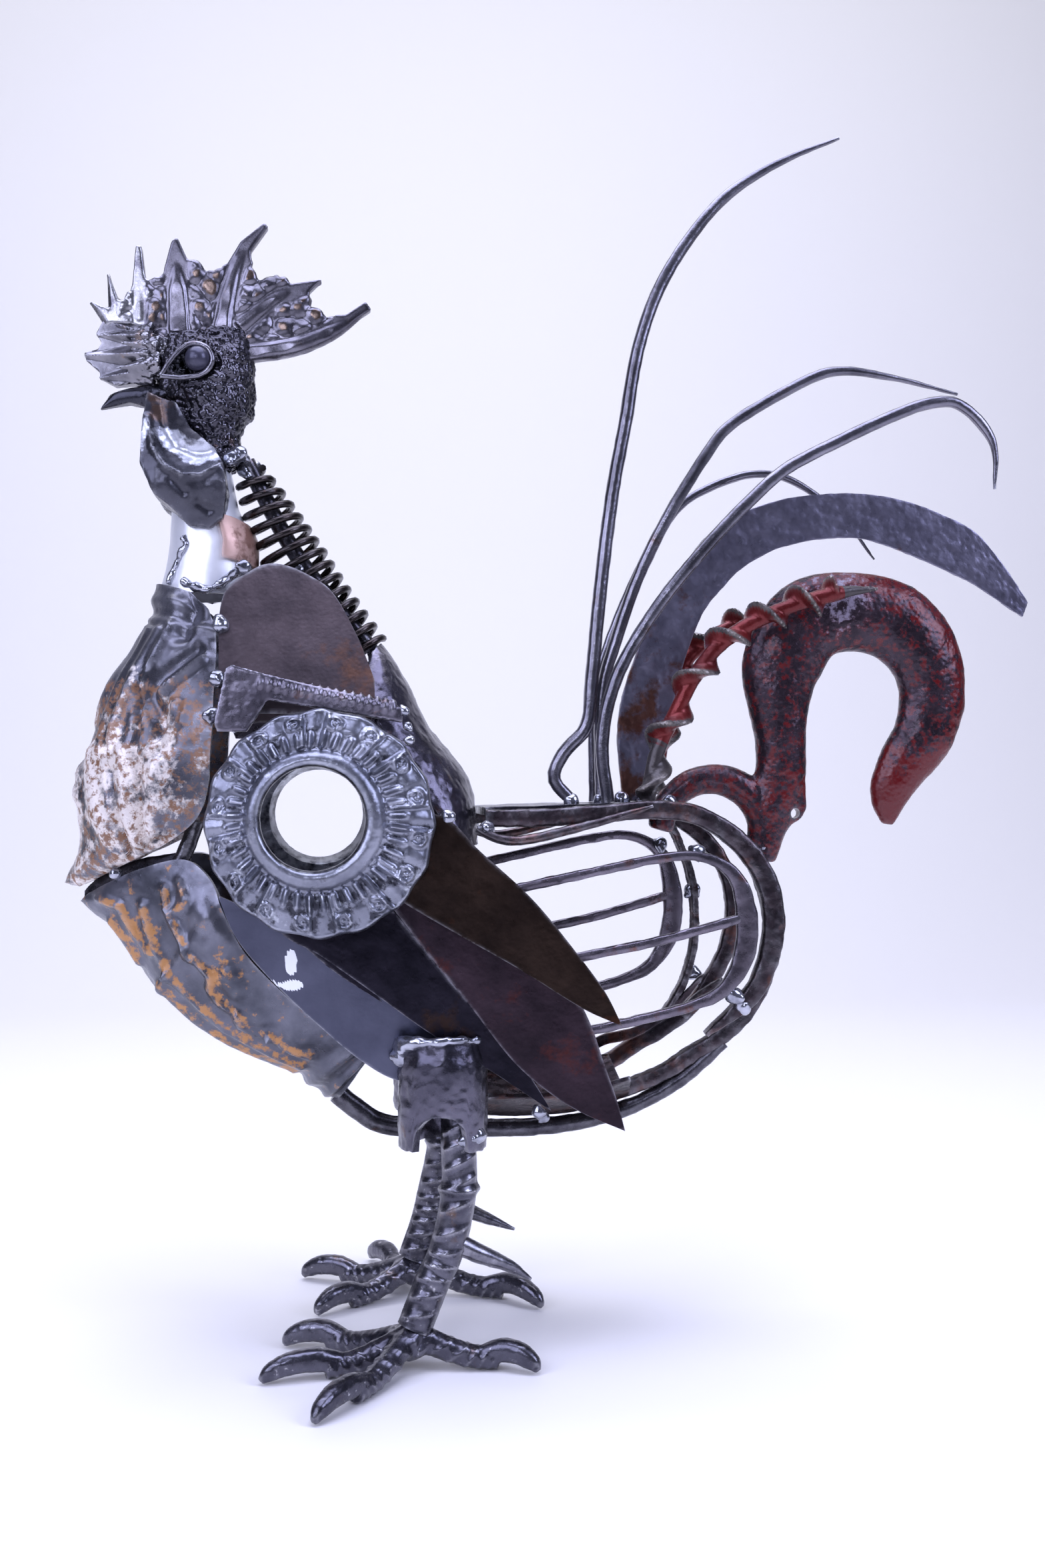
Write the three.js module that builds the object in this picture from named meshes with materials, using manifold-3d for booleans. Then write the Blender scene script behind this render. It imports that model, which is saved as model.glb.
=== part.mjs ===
// Scrap metal rooster: a standing cock welded together from found iron and steel.
// Millimetres, +Z up, head toward -X, tail toward +X, near side toward -Y, floor at z = 0.
import * as THREE from "three";
import { mergeVertices } from "three/addons/utils/BufferGeometryUtils.js";
import Module from "manifold-3d";

const wasm = await Module();
wasm.setup();
const { Manifold, Mesh } = wasm;

// Driving dimensions.
const WELD_GAPS = [0.5, 0.8, 1.2]; // swelling of a piece before its neighbour is trimmed to it
const SHEET = 3; // wing, flank and hackle sheet
const CAST_WALL = 5; // breast castings
const RING_BACK = 66.5; // back face of a shoulder ring from the middle plane
const RING_RADIUS = 54.5;
const RING_HOLE = 24.5;
const RING_CENTRE = [-125, 265];
const RING_HOLE_SHIFT = [-3.5, 2.5]; // the collar sits off the ring's middle
const RING_LOBES = 16;
const REBAR = 8.6; // shank radius
const TOE = 6.3; // toe radius
const SPRING_WIRE = 1.9;
const SPRING_TURNS = 14;
const GRATE_Y = 52;
const BAND_Y = 44;
const THIGH_Y = 48;

const ACROSS = new THREE.Vector3(0, 1, 0);
const UP = new THREE.Vector3(0, 0, 1);

// Finishes.
const paint = (color, metalness, roughness) =>
  new THREE.MeshStandardMaterial({ color, metalness, roughness });
const DARK = paint(0x2b2a2e, 0.8, 0.5);
const GREY = paint(0x55585f, 0.8, 0.5);
const BRIGHT = paint(0xa9abae, 0.95, 0.3);
const COPPER = paint(0x6b4638, 0.8, 0.45);
const BROWN = paint(0x3d302c, 0.7, 0.55);
const NAVY = paint(0x23262f, 0.7, 0.45);
const RED = paint(0x5c2626, 0.5, 0.6);
const BLACK = paint(0x0d0d10, 0.6, 0.15);

// A closed three.js geometry as a solid, with the faces turned outward.
function solid(geometry) {
  const bare = geometry.clone();
  bare.deleteAttribute("normal");
  bare.deleteAttribute("uv");
  const merged = mergeVertices(bare, 1e-3);
  const index = merged.index.array;
  const build = (flip) => {
    const triVerts = [];
    for (let i = 0; i < index.length; i += 3) {
      const [a, b, c] = [index[i], index[i + 1], index[i + 2]];
      if (a !== b && b !== c && c !== a) triVerts.push(a, flip ? c : b, flip ? b : c);
    }
    return new Manifold(
      new Mesh({
        numProp: 3,
        vertProperties: new Float32Array(merged.attributes.position.array),
        triVerts: new Uint32Array(triVerts),
      }),
    );
  };
  const made = build(false);
  return made.volume() < 0 ? build(true) : made;
}

// Moves every vertex of a geometry.
function reshape(geometry, move) {
  const at = geometry.attributes.position;
  const point = new THREE.Vector3();
  for (let i = 0; i < at.count; i++) {
    move(point.fromBufferAttribute(at, i));
    at.setXYZ(i, point.x, point.y, point.z);
  }
  return geometry;
}

// A smooth path through points in space, or through [x, z] pairs on the plane y.
const through = (points) => new THREE.CatmullRomCurve3(points, false, "centripetal");
const path = (pairs, y) => through(pairs.map(([x, z]) => new THREE.Vector3(x, y, z)));
const route = (points) => through(points.map((p) => new THREE.Vector3(...p)));

// Smooth change between the values of a list, for t from 0 to 1.
function ramp(values) {
  return (t) => {
    const at = Math.min(t, 1 - 1e-9) * (values.length - 1);
    const k = Math.floor(at);
    return THREE.MathUtils.lerp(values[k], values[k + 1], at - k);
  };
}

// A bar along a curve. half(t, angle) gives its half sizes in the curve's plane and along `side`.
// Four sides make a flat bar.
function bar(curve, half, { sides = 8, steps = 12, side = ACROSS } = {}) {
  const square = sides === 4;
  const geometry = new THREE.CylinderGeometry(
    1, 1, 1, sides, steps, false, square ? Math.PI / 4 : 0,
  );
  const grow = square ? Math.SQRT2 : 1;
  return solid(
    reshape(geometry, (p) => {
      const t = p.y + 0.5;
      const along = curve.getTangent(t);
      const across = side.clone().addScaledVector(along, -side.dot(along)).normalize();
      const plane = along.clone().cross(across);
      const [a, b] = half(t, Math.atan2(p.x, p.z));
      const { x, z } = p;
      p.copy(curve.getPoint(t)).addScaledVector(plane, x * a * grow);
      p.addScaledVector(across, z * b * grow);
    }),
  );
}

// A round bar whose radius follows a list of values.
function rod(curve, radii, options) {
  const radius = ramp(radii);
  return bar(curve, (t) => [radius(t), radius(t)], options);
}

// A solid through level sections [x, y, z, half x, half y], from the lowest up.
function loft(sections, sides) {
  const steps = sections.length - 1;
  const geometry = new THREE.CylinderGeometry(1, 1, steps, sides, steps);
  return solid(
    reshape(geometry, (p) => {
      const [x, y, z, a, b] = sections[Math.round(p.y + steps / 2)];
      p.set(x + p.x * a, y - p.z * b, z);
    }),
  );
}

// A sheet cut to an [x, z] outline, from y = near and as thick as given.
// lean(x, z, y) shifts it along y.
function sheet(outline, near, thick, { holes = [], lean = () => 0 } = {}) {
  const flat = (pairs) => pairs.map(([x, z]) => new THREE.Vector2(x, z));
  const points = flat(outline);
  const shape = new THREE.Shape(THREE.ShapeUtils.isClockWise(points) ? points.reverse() : points);
  shape.holes = holes.map((hole) => new THREE.Path(flat(hole)));
  const geometry = new THREE.ExtrudeGeometry(shape, { depth: thick, bevelEnabled: false });
  geometry.rotateX(Math.PI / 2).translate(0, near + thick, 0);
  return solid(reshape(geometry, (p) => (p.y += lean(p.x, p.z, p.y))));
}

// A thick outline that thins from `root` to `tip` half thickness between two x positions.
function wedge(outline, rootX, root, tipX, tip) {
  const shape = new THREE.Shape(outline.map(([x, z]) => new THREE.Vector2(x, z)));
  const geometry = new THREE.ExtrudeGeometry(shape, { depth: 2, bevelEnabled: false });
  geometry.rotateX(Math.PI / 2).translate(0, 1, 0);
  return solid(
    reshape(geometry, (p) => (p.y *= THREE.MathUtils.mapLinear(p.x, rootX, tipX, root, tip))),
  );
}

// An edge of an outline as `count` points of a smooth curve.
function edge(pairs, count) {
  const curve = path(pairs, 0);
  return curve.getPoints(count - 1).map((p) => [p.x, p.z]);
}

// A cast shell with a ridge on the middle plane.
// Rows are [ridge x, ridge z, rim x, rim z, half width]; relief(s, t) stands out of its face.
function shell(rows, wall, { columns = 12, steps = 14, relief = () => 0 } = {}) {
  const ridge = through(rows.map(([x, z]) => new THREE.Vector3(x, 0, z)));
  const rim = through(rows.map(([, , x, z, w]) => new THREE.Vector3(x, w, z)));
  const skin = (s, t) => {
    const a = ridge.getPoint(t);
    const b = rim.getPoint(t);
    const out = 1 - Math.cos((s * Math.PI) / 2);
    return new THREE.Vector3(
      a.x + (b.x - a.x) * out,
      b.y * Math.sin((s * Math.PI) / 2),
      a.z + (b.z - a.z) * out,
    );
  };
  const geometry = new THREE.BoxGeometry(2, 1, 2, columns, steps, 1);
  return solid(
    reshape(geometry, (p) => {
      const [s, t, outer] = [p.x, p.y + 0.5, p.z > 0];
      const [s0, s1] = [Math.max(s - 0.02, -1), Math.min(s + 0.02, 1)];
      const [t0, t1] = [Math.max(t - 0.02, 0), Math.min(t + 0.02, 1)];
      const normal = skin(s1, t).sub(skin(s0, t)).cross(skin(s, t1).sub(skin(s, t0)));
      const thick = Math.min(wall, 0.45 * rim.getPoint(t).y);
      p.copy(skin(s, t)).addScaledVector(normal.normalize(), outer ? relief(s, t) : -thick);
    }),
  );
}

// A ball, or an ellipsoid with three radii.
function ball(centre, radii, sides = 8) {
  const geometry = new THREE.SphereGeometry(1, sides, sides - 2);
  return solid(geometry.scale(...radii).translate(...centre));
}

const mirrored = (body) => body.mirror([0, 1, 0]);

// The body with every vertex moved out along its normal.
function swollen(body, by) {
  const { vertProperties, triVerts, numProp } = body.getMesh();
  const geometry = new THREE.BufferGeometry();
  const points = [];
  for (let i = 0; i < vertProperties.length; i += numProp) {
    points.push(...vertProperties.subarray(i, i + 3));
  }
  geometry.setAttribute("position", new THREE.Float32BufferAttribute(points, 3));
  geometry.setIndex(new THREE.BufferAttribute(triVerts, 1));
  geometry.computeVertexNormals();
  const normals = geometry.attributes.normal;
  let i = 0;
  reshape(geometry, (p) => {
    p.x += by * normals.getX(i);
    p.y += by * normals.getY(i);
    p.z += by * normals.getZ(i);
    i++;
  });
  return solid(geometry);
}

const rooster = new THREE.Group();
rooster.name = "scrap_metal_rooster";
const placed = [];

// Adds a piece, ground to seat against the pieces already in place.
function add(name, body, finish) {
  let fitted = body;
  for (const other of placed) {
    for (const gap of WELD_GAPS) {
      if (fitted.intersect(other).volume() > 1e-4) {
        fitted = fitted.subtract(swollen(other, gap));
      }
    }
  }
  const bodies = fitted.decompose().sort((a, b) => b.volume() - a.volume());
  placed.push(bodies[0]);
  const { vertProperties, triVerts } = bodies[0].getMesh();
  const geometry = new THREE.BufferGeometry();
  geometry.setAttribute("position", new THREE.BufferAttribute(vertProperties, 3));
  geometry.setIndex(new THREE.BufferAttribute(triVerts, 1));
  geometry.computeVertexNormals();
  const mesh = new THREE.Mesh(geometry, finish);
  mesh.name = name;
  rooster.add(mesh);
}

// Adds a piece of the near side and its mirror image on the far side.
function addPair(name, body, finish) {
  add(name + "_near", body, finish);
  add(name + "_far", mirrored(body), finish);
}

// Head.
const EYE = [-188, 497];
const EYE_LINE = [
  [-204.5, 489], [-198, 498.5], [-190, 504], [-182, 502.5], [-178.5, 496], [-183, 489.5],
  [-194, 487.5],
];
const about = (pairs, [cx, cz], k) => pairs.map(([x, z]) => [cx + (x - cx) * k, cz + (z - cz) * k]);
addPair("eye_ball", ball([-187, -20, 497], [6, 6, 6], 8), BLACK);
addPair(
  "eye_ring",
  sheet(about(EYE_LINE, EYE, 1.16), -24, 5, { holes: [about(EYE_LINE, EYE, 0.82)] }),
  DARK,
);

const UPPER_BEAK = [
  [-236, 521], [-240, 514], [-237, 509], [-239, 506], [-246, 504], [-245, 500],
  [-238, 494], [-238, 491], [-230, 487], [-216, 489], [-204, 491], [-203, 511], [-222, 517],
];
add("upper_beak", wedge(UPPER_BEAK, -203, 13, -246, 2.5), BRIGHT);
const LOWER_BEAK = [
  [-238, 475], [-233, 483], [-222, 486.2], [-204, 488], [-201, 481], [-208, 478],
  [-216, 477], [-223, 478.5],
];
add("lower_beak", wedge(LOWER_BEAK, -201, 11, -238, 2.5), GREY);

const COMB = [
  [-234, 519], [-243, 530], [-232, 526], [-234, 545], [-228, 530], [-222, 535], [-220, 559],
  [-217, 559], [-215, 542], [-207, 543], [-202, 562], [-199, 564], [-194, 553], [-188, 550],
  [-180, 546], [-174, 551], [-167, 563], [-155, 573], [-153, 571], [-162, 558], [-161, 551],
  [-157, 544], [-149, 546], [-141, 542], [-125, 545], [-132, 538], [-131, 531], [-123, 526],
  [-113, 527], [-103, 534], [-100, 530], [-120, 516], [-133, 509], [-157, 503], [-174, 502],
  [-192, 506], [-222, 518.5],
];
const COMB_RIBS = [
  { line: [[-198, 517], [-199, 537], [-200, 561]], radii: [6.5, 6, 2] },
  { line: [[-218, 521], [-218, 540], [-218.5, 557]], radii: [5.5, 4.6, 1.5] },
  { line: [[-177, 517], [-173, 537], [-168, 553], [-155, 571]], radii: [6.5, 6.5, 6, 1.8] },
  { line: [[-166, 521], [-148, 536], [-127, 543]], radii: [6, 5.8, 1.8] },
  { line: [[-158, 509], [-140, 513], [-120, 521], [-102, 532]], radii: [6, 6, 5, 1.8] },
];
add(
  "comb",
  COMB_RIBS.reduce(
    (comb, { line, radii }) => comb.add(rod(path(line, 0), radii, { sides: 5, steps: 2 })),
    sheet(COMB, -4.5, 9),
  ),
  BRIGHT,
);

// The weld lump of the skull, hollowed behind each eye ring.
const SKULL = [
  [-169.5, 0, 447, 6.5, 9], [-176.5, 0, 454, 11.5, 13], [-183, 0, 467, 20, 17.5],
  [-183, 0, 481, 23, 20.5], [-184.5, 0, 491, 24.5, 21.5], [-184.5, 0, 503, 23.5, 20],
  [-186, 0, 515, 20, 13],
];
const SOCKET = sheet(about(EYE_LINE, EYE, 0.82), -30, 17);
add("head", loft(SKULL, 10).subtract(SOCKET).subtract(mirrored(SOCKET)), DARK);

// Neck.
const NECK = [
  [-185, 0, 380, 23.5, 23.5], [-182.5, 0, 396, 22, 22], [-181.5, 0, 407, 21.5, 21.5],
  [-185, 0, 425, 17, 18], [-187, 0, 455, 13, 14],
];
const neckAt = (grow) => loft(NECK.map(([x, y, z, a, b]) => [x, y, z, a + grow, b + grow]), 11);
const bore = loft(
  NECK.slice(0, 4).map(([x, y, z, a, b], k) => [x, y, z - (k ? 0 : 1), a - 4, b - 4]),
  11,
);
add("neck_tube", neckAt(0).subtract(bore), BRIGHT);
const PATCH = [[-170, 421], [-165, 420], [-158, 406], [-158, 396], [-171, 393], [-175, 410]];
add(
  "neck_patch",
  neckAt(3).subtract(neckAt(0.4)).intersect(sheet(PATCH, -40, 38)),
  COPPER,
);
const WATTLE = [
  [-212, 480], [-214, 463], [-215, 443], [-208, 428], [-199, 421], [-191, 413], [-181, 412],
  [-174, 417], [-172, 430], [-174, 444], [-179, 453], [-190, 461], [-197, 474],
];
addPair(
  "wattle",
  sheet(WATTLE, -31, 28.5, { lean: (x, z, y) => (y < -20 && z < 430 ? 5 : 0) }).subtract(
    ball([-191, -37, 449], [15, 15, 11], 7),
  ),
  GREY,
);

// Coil spring on the rod of the nape: narrow at the skull, widest below it.
const SPRING_LINE = route([[-162.5, 0, 444], [-143.5, 0, 406], [-124, 0, 379], [-102, 0, 353]]);
const SPRING_RADII = ramp([7.2, 11.5, 14.5, 15, 13.5, 12, 10.5]);
class Coil extends THREE.Curve {
  getPoint(t, target = new THREE.Vector3()) {
    const out = SPRING_LINE.getTangent(t).cross(ACROSS);
    const turn = 2 * Math.PI * SPRING_TURNS * t;
    const radius = SPRING_RADII(t);
    return target
      .copy(SPRING_LINE.getPointAt(t))
      .addScaledVector(out, radius * Math.cos(turn))
      .addScaledVector(ACROSS, radius * Math.sin(turn));
  }
}
add(
  "nape_rod",
  rod(route([[-164, 0, 450], [-141, 0, 406], [-121, 0, 379], [-100, 0, 354]]), [4.3, 4.3], {
    steps: 4,
  }),
  DARK,
);
add(
  "neck_spring",
  rod(new Coil(), [SPRING_WIRE, SPRING_WIRE], {
    sides: 3,
    steps: 5 * SPRING_TURNS,
    side: new THREE.Vector3(0.56, 0, -0.83),
  }),
  DARK,
);

// Breast: two iron castings, the upper one toe down and the lower one toe forward.
const BREAST_UPPER = [
  [-210, 386, -190, 380, 25], [-211, 372, -178, 364, 37], [-214, 362, -176, 353, 44],
  [-221, 349, -176, 340, 50], [-232, 334, -176.5, 327, 54], [-238, 317, -177, 311, 57],
  [-243, 303, -178, 297, 58], [-248, 286, -179, 283, 57], [-249, 268, -184, 268, 54],
  [-248, 256, -198, 256, 46], [-250, 246, -216, 247, 35], [-254, 239, -234, 238, 20],
  [-256, 234, -247, 232, 8],
];
const BREAST_LOWER = [
  [-248, 224, -243, 229, 8], [-240, 217, -231, 235, 22], [-228, 208, -212, 243, 36],
  [-219, 194, -190, 247, 46], [-213, 184, -178, 237, 52], [-203, 174, -171, 220, 54],
  [-188, 161, -162, 203, 54], [-173, 152, -148, 187, 52], [-154, 144, -130, 170, 48],
  [-139, 137, -116, 157, 40], [-128, 127, -106, 149, 32], [-118, 121, -102, 145, 24],
];
const flutes = (s, t) => 1.1 * Math.cos(8 * Math.PI * s) * Math.sin(Math.PI * t);
const band = (t, at, width) => Math.exp(-(((t - at) / width) ** 2));
add(
  "breast_upper",
  shell(BREAST_UPPER, CAST_WALL, {
    columns: 10,
    steps: 10,
    relief: (s, t) => flutes(s, t) + 2.2 * band(t, 0.07, 0.05),
  }),
  GREY,
);
add(
  "breast_lower",
  shell(BREAST_LOWER, CAST_WALL, {
    columns: 10,
    steps: 10,
    relief: (s, t) => flutes(s, t) + 2 * band(t, 0.42, 0.04) + 2.4 * band(t, 0.88, 0.05),
  }),
  GREY,
);
add(
  "breast_stay",
  rod(route([[-186, -38, 266], [-191, -37, 252], [-199, -36, 236]]), [4, 4], { sides: 6, steps: 2 }),
  DARK,
);

// Shoulder rings: a raised collar round the hole, gadroons outside it and a scalloped rim.
const RING_PROFILE = [
  [RING_HOLE, 0], [RING_RADIUS - 1, 0], [RING_RADIUS, 2.5], [RING_RADIUS - 2.5, 6.5],
  [46, 9.5], [35, 8.5], [32, 14], [RING_HOLE, 12.5],
];
function shoulderRing() {
  const profile = [...RING_PROFILE, RING_PROFILE[0]].map(([r, d]) => new THREE.Vector2(r, d));
  const geometry = new THREE.LatheGeometry(profile, 2 * RING_LOBES);
  reshape(geometry, (p) => {
    const radius = Math.hypot(p.x, p.z);
    const wave = Math.cos(RING_LOBES * Math.atan2(p.x, p.z));
    if (p.y > 1 && radius > 38) p.y += 1.3 * wave;
    const scale = radius > 50 ? 1 + 0.012 * wave : 1;
    const inside = THREE.MathUtils.mapLinear(radius, RING_RADIUS, RING_HOLE, 0, 1);
    p.x = p.x * scale + RING_HOLE_SHIFT[0] * inside;
    p.z = p.z * scale - RING_HOLE_SHIFT[1] * inside;
  });
  geometry.rotateX(Math.PI).translate(RING_CENTRE[0], -RING_BACK, RING_CENTRE[1]);
  return solid(geometry);
}
addPair("shoulder_ring", shoulderRing(), GREY);

// Wing feathers, overlapping like shingles with the top one outermost.
const FEATHERS = [
  [
    ...edge([[-66, 268], [-49, 252], [-23, 228], [0, 200], [13, 182], [21, 166]], 8),
    ...edge([[21, 166], [3, 174], [-29, 194], [-55, 209], [-87, 228]], 6).slice(1),
    [-104, 240], [-100, 272],
  ],
  [
    ...edge([[-4, 186], [1, 177], [7, 164], [12, 149], [19, 129], [23, 114]], 7),
    ...edge([[23, 114], [-3, 126], [-29, 146], [-55, 179], [-89, 222]], 7).slice(1),
    [-102, 238], [-70, 243],
  ],
  [
    ...edge([[-55, 179], [-35, 156], [-22, 139], [-13, 124]], 5),
    ...edge([[-13, 124], [-41, 143], [-74, 164], [-100, 183], [-125, 201], [-145, 214]], 6).slice(1),
    [-142, 232], [-108, 242], [-89, 221],
  ],
];
FEATHERS.forEach((outline, k) => {
  addPair("wing_feather_" + (k + 1), sheet(outline, -66 + 3.5 * k, SHEET), [BROWN, RED, NAVY][k]);
});

// Hackle plates lean in toward the neck; a toothed bar lies over the foot of each.
const HACKLE = [
  [-175, 367], [-172, 380],
  ...edge(
    [[-162, 389], [-152, 394], [-142, 393], [-131, 388], [-121, 381], [-108, 358], [-99, 335]], 10,
  ),
  [-100, 318], [-172, 318], [-174, 345],
];
addPair(
  "hackle_plate",
  sheet(HACKLE, -57, SHEET, { lean: (x, z) => 0.38 * (z - 318) }),
  BROWN,
);
const TEETH = 12;
const teeth = Array.from({ length: TEETH }, (_, k) => {
  const x = THREE.MathUtils.lerp(-153, -90, k / (TEETH - 1));
  const z = 334.5 - 0.187 * (x + 153);
  return [[x - 2.2, z - 1.4], [x, z + 2]];
}).flat();
addPair(
  "toothed_bar",
  sheet(
    [
      [-170, 339], [-167, 341], [-157, 338], ...teeth, [-86, 321], [-86, 313], [-100, 316],
      [-150, 324], [-160, 309], [-174, 309], [-175.5, 313],
    ],
    -65.8,
    6.6,
  ),
  DARK,
);

// Back: a bent saddle from the spring down to the body, then a flat plate to the tail.
const SADDLE = [
  [-45, 253, -56, 254, 46], [-46, 270, -67, 268, 47], [-49, 286, -76, 281, 46],
  [-57, 298, -86, 297, 44], [-70, 314, -94, 309, 41], [-80, 335, -100, 326, 36],
  [-89, 350, -101, 340, 27], [-95, 357, -102, 349, 17],
];
add("back_saddle", shell(SADDLE, 3.5, { columns: 6, steps: 7 }), DARK);

// Tail: four fork tines, a sickle blade, a cargo hook and two auger bits.
const TINES = [
  {
    y: -5,
    radii: [3.2, 3.6, 3.6, 3.6, 3.5, 3.3, 2.8, 1],
    line: [
      [5, 274.5], [-5, 287], [0, 300], [12, 314], [15, 339], [19, 381], [26, 437], [33, 475],
      [39, 510], [49, 541], [65, 569], [87, 595], [116, 614], [148, 628],
    ],
  },
  {
    y: 2,
    radii: [3.2, 3.2, 3.2, 3.1, 2.9, 2.4, 1],
    line: [
      [21, 274.5], [21.5, 332], [29, 360], [42, 396], [58, 428], [78, 460], [88, 473],
      [110, 488], [141, 504], [153, 506], [180, 503], [216, 495],
    ],
  },
  {
    y: -15,
    radii: [3.4, 3.4, 3.4, 3.3, 3.2, 3, 2.6, 0.9],
    line: [
      [22, 274.5], [19, 305], [26, 338], [46, 373], [74, 408], [102, 437], [116, 449],
      [142, 463], [178, 480], [196, 486], [209, 486], [224, 474], [230, 462], [230, 441],
    ],
  },
  {
    y: 24,
    radii: [2.4, 2.4, 2.3, 2.2, 2, 0.8],
    line: [
      [20, 274.5], [21, 333], [29, 362], [46, 402], [60, 426], [72, 439], [97, 451],
      [112, 454], [127, 452], [157, 433], [177, 408],
    ],
  },
];
TINES.forEach(({ y, radii, line }, k) => {
  const body = rod(path(line, y), radii, { sides: 5, steps: Math.round(1.3 * line.length) });
  add("tail_tine_" + (k + 1), body, DARK);
});

const SICKLE_BACK = [
  [33, 275], [30, 311], [33, 332], [39, 350], [52, 384], [65, 400], [79, 417], [94, 427],
  [108, 433], [127, 438], [145, 440], [167, 440], [190, 436], [212, 428], [227, 420],
  [242, 403], [256, 383],
];
const SICKLE_EDGE = [
  [253, 375], [240, 383], [226, 392], [204, 402], [181, 411], [163, 416], [145, 416],
  [127, 413], [112, 408], [97, 399], [77, 377], [68, 356], [59, 325], [46, 275],
];
add(
  "tail_sickle",
  sheet([...edge(SICKLE_BACK, 17), [257, 379], ...edge(SICKLE_EDGE, 13)], 2, 4),
  NAVY,
);

const HOOK_STATIONS = [
  [109, 243, 6, 6.5], [110.5, 257, 9.5, 8], [113, 272, 14.5, 9], [118, 290, 14, 10],
  [118, 308, 14, 11], [117, 325, 16.5, 11.5], [119, 348, 22, 12], [133, 371, 23, 12],
  [156, 376.5, 21.5, 12], [181, 371, 21.5, 12], [197, 354, 20, 12], [202, 332, 18, 11.5],
  [197, 311, 17, 11], [185, 293, 14, 9], [178, 277, 11, 7], [177, 262, 3.5, 3],
];
const HOOK_Y = 2;
const HOOK_EYE = [81, 258];
const HOOK_EYE_RADIUS = 28.5;
const hookShape = [2, 3].map((k) => ramp(HOOK_STATIONS.map((station) => station[k])));
const hookBow = bar(path(HOOK_STATIONS, HOOK_Y), (t) => hookShape.map((size) => size(t)), {
  sides: 7,
  steps: 15,
});
const eyeLine = Array.from({ length: 9 }, (_, k) => {
  const turn = THREE.MathUtils.degToRad(-15 + 24 * k);
  return [
    HOOK_EYE[0] + HOOK_EYE_RADIUS * Math.cos(turn),
    HOOK_EYE[1] + HOOK_EYE_RADIUS * Math.sin(turn),
  ];
});
const hookEye = bar(path(eyeLine, HOOK_Y), (t) => [9.5 - 2.5 * t, 8 - 1.5 * t], { sides: 6, steps: 6 });
const LUG = [[118, 292], [131.5, 290], [132, 271], [128.5, 265.5], [119, 259], [112, 254]];
const lugHole = bar(route([[125, -20, 268.5], [125, 20, 268.5]]), () => [2.2, 2.2], {
  sides: 7,
  steps: 1,
  side: UP,
});
add(
  "tail_hook",
  hookBow.add(hookEye).add(sheet(LUG, HOOK_Y - 4, 8)).subtract(lugHole),
  RED,
);

// A twisted bit: a core with one thread that winds round it.
function auger(line, y, turns, screwFrom) {
  const curve = path(line, y);
  const half = (t, angle) => {
    const lead = Math.cos(angle - 2 * Math.PI * turns * t);
    const thread = Math.max(0, lead) ** 0.7;
    const taper = t < screwFrom ? 1 : THREE.MathUtils.mapLinear(t, screwFrom, 1, 0.45, 0.12);
    const start = Math.min(1, 0.55 + 4 * t);
    const radius = (4.4 + 4.6 * thread * start) * taper;
    return [radius, radius];
  };
  return bar(curve, half, { sides: 6, steps: 4 * turns });
}
add(
  "tail_auger_near",
  auger(
    [[41, 275], [46, 300], [55, 319], [65, 338], [76, 353], [90, 364], [104, 371], [118, 377],
      [132, 381], [145, 384], [163, 386]],
    -24, 6, 0.88,
  ),
  RED,
);
add(
  "tail_auger_far",
  auger([[48, 275], [56, 292], [61, 319], [70, 348], [86, 364], [104, 373], [122, 380]], 30, 4, 0.85),
  RED,
);

// Body cage: cast grates on the flanks, flat bands round the rump and a plate along the top.
const GRATE_FRAME = [
  [-57, 226], [-31, 232], [12, 241], [46, 247.5], [62, 248], [75, 243], [82, 235], [86, 220],
  [86, 204], [82, 191], [73, 180], [60, 174], [32, 167], [2, 161], [-28, 156],
];
const frameWidth = ramp([2.4, 2.4, 2.4, 2.5, 3.5, 5.5, 5.5, 3.5, 2.5, 2.4, 2.4]);
const GRATE_BAR = [[-41, 190], [0, 198], [46, 207], [84, 217]];
function grate() {
  const frame = bar(path(GRATE_FRAME, -GRATE_Y), (t) => [frameWidth(t), 2.5], {
    sides: 4,
    steps: 14,
  });
  return frame.add(bar(path(GRATE_BAR, -GRATE_Y), () => [2.4, 2.5], { sides: 4, steps: 3 }));
}
const FAR_GRATE_RISE = 1.08; // the far casting is a little taller and sits further forward
const FAR_GRATE_SHIFT = [-17, 0, 4 - 209 * (FAR_GRATE_RISE - 1)];
add("rib_grate_near", grate(), BROWN);
add(
  "rib_grate_far",
  mirrored(grate()).scale([1, 1, FAR_GRATE_RISE]).translate(FAR_GRATE_SHIFT),
  BROWN,
);

const BAND = [
  [-44, 267], [-20, 267], [14, 269], [40, 271], [60, 269], [75, 262], [86, 253], [94, 243],
  [100, 230], [102, 213], [99, 195], [93, 181],
];
// The near band is drawn to a point, the far one runs on under the belly.
const BAND_POINT = [[86, 173], [77, 165.5], [67, 158]];
const BAND_RUN = [[80, 162], [62, 148], [45, 138.5], [30, 129], [10, 121.5]];
const bandWidth = ramp([4.6, 4.6, 4.6, 4.6, 4.6, 4.6, 1.6]);
add(
  "rump_band_near",
  bar(path([...BAND, ...BAND_POINT], -BAND_Y), (t) => [bandWidth(t), 4], { sides: 4, steps: 14 }),
  BROWN,
);
add(
  "rump_band_far",
  bar(path([...BAND, ...BAND_RUN], BAND_Y), () => [4.6, 4], { sides: 4, steps: 16 }),
  BROWN,
);
const MIDDLE_BAND = [
  [99, 250], [106, 237], [111, 219], [113, 204], [111, 190], [107, 177], [99, 163], [89, 153],
  [80, 147], [68, 140], [53, 131], [38, 125], [24, 120.5], [8, 117.5], [-10, 116.5],
];
add("rump_band_middle", bar(path(MIDDLE_BAND, 0), () => [4.4, 4.5], { sides: 4, steps: 16 }), BROWN);
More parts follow.
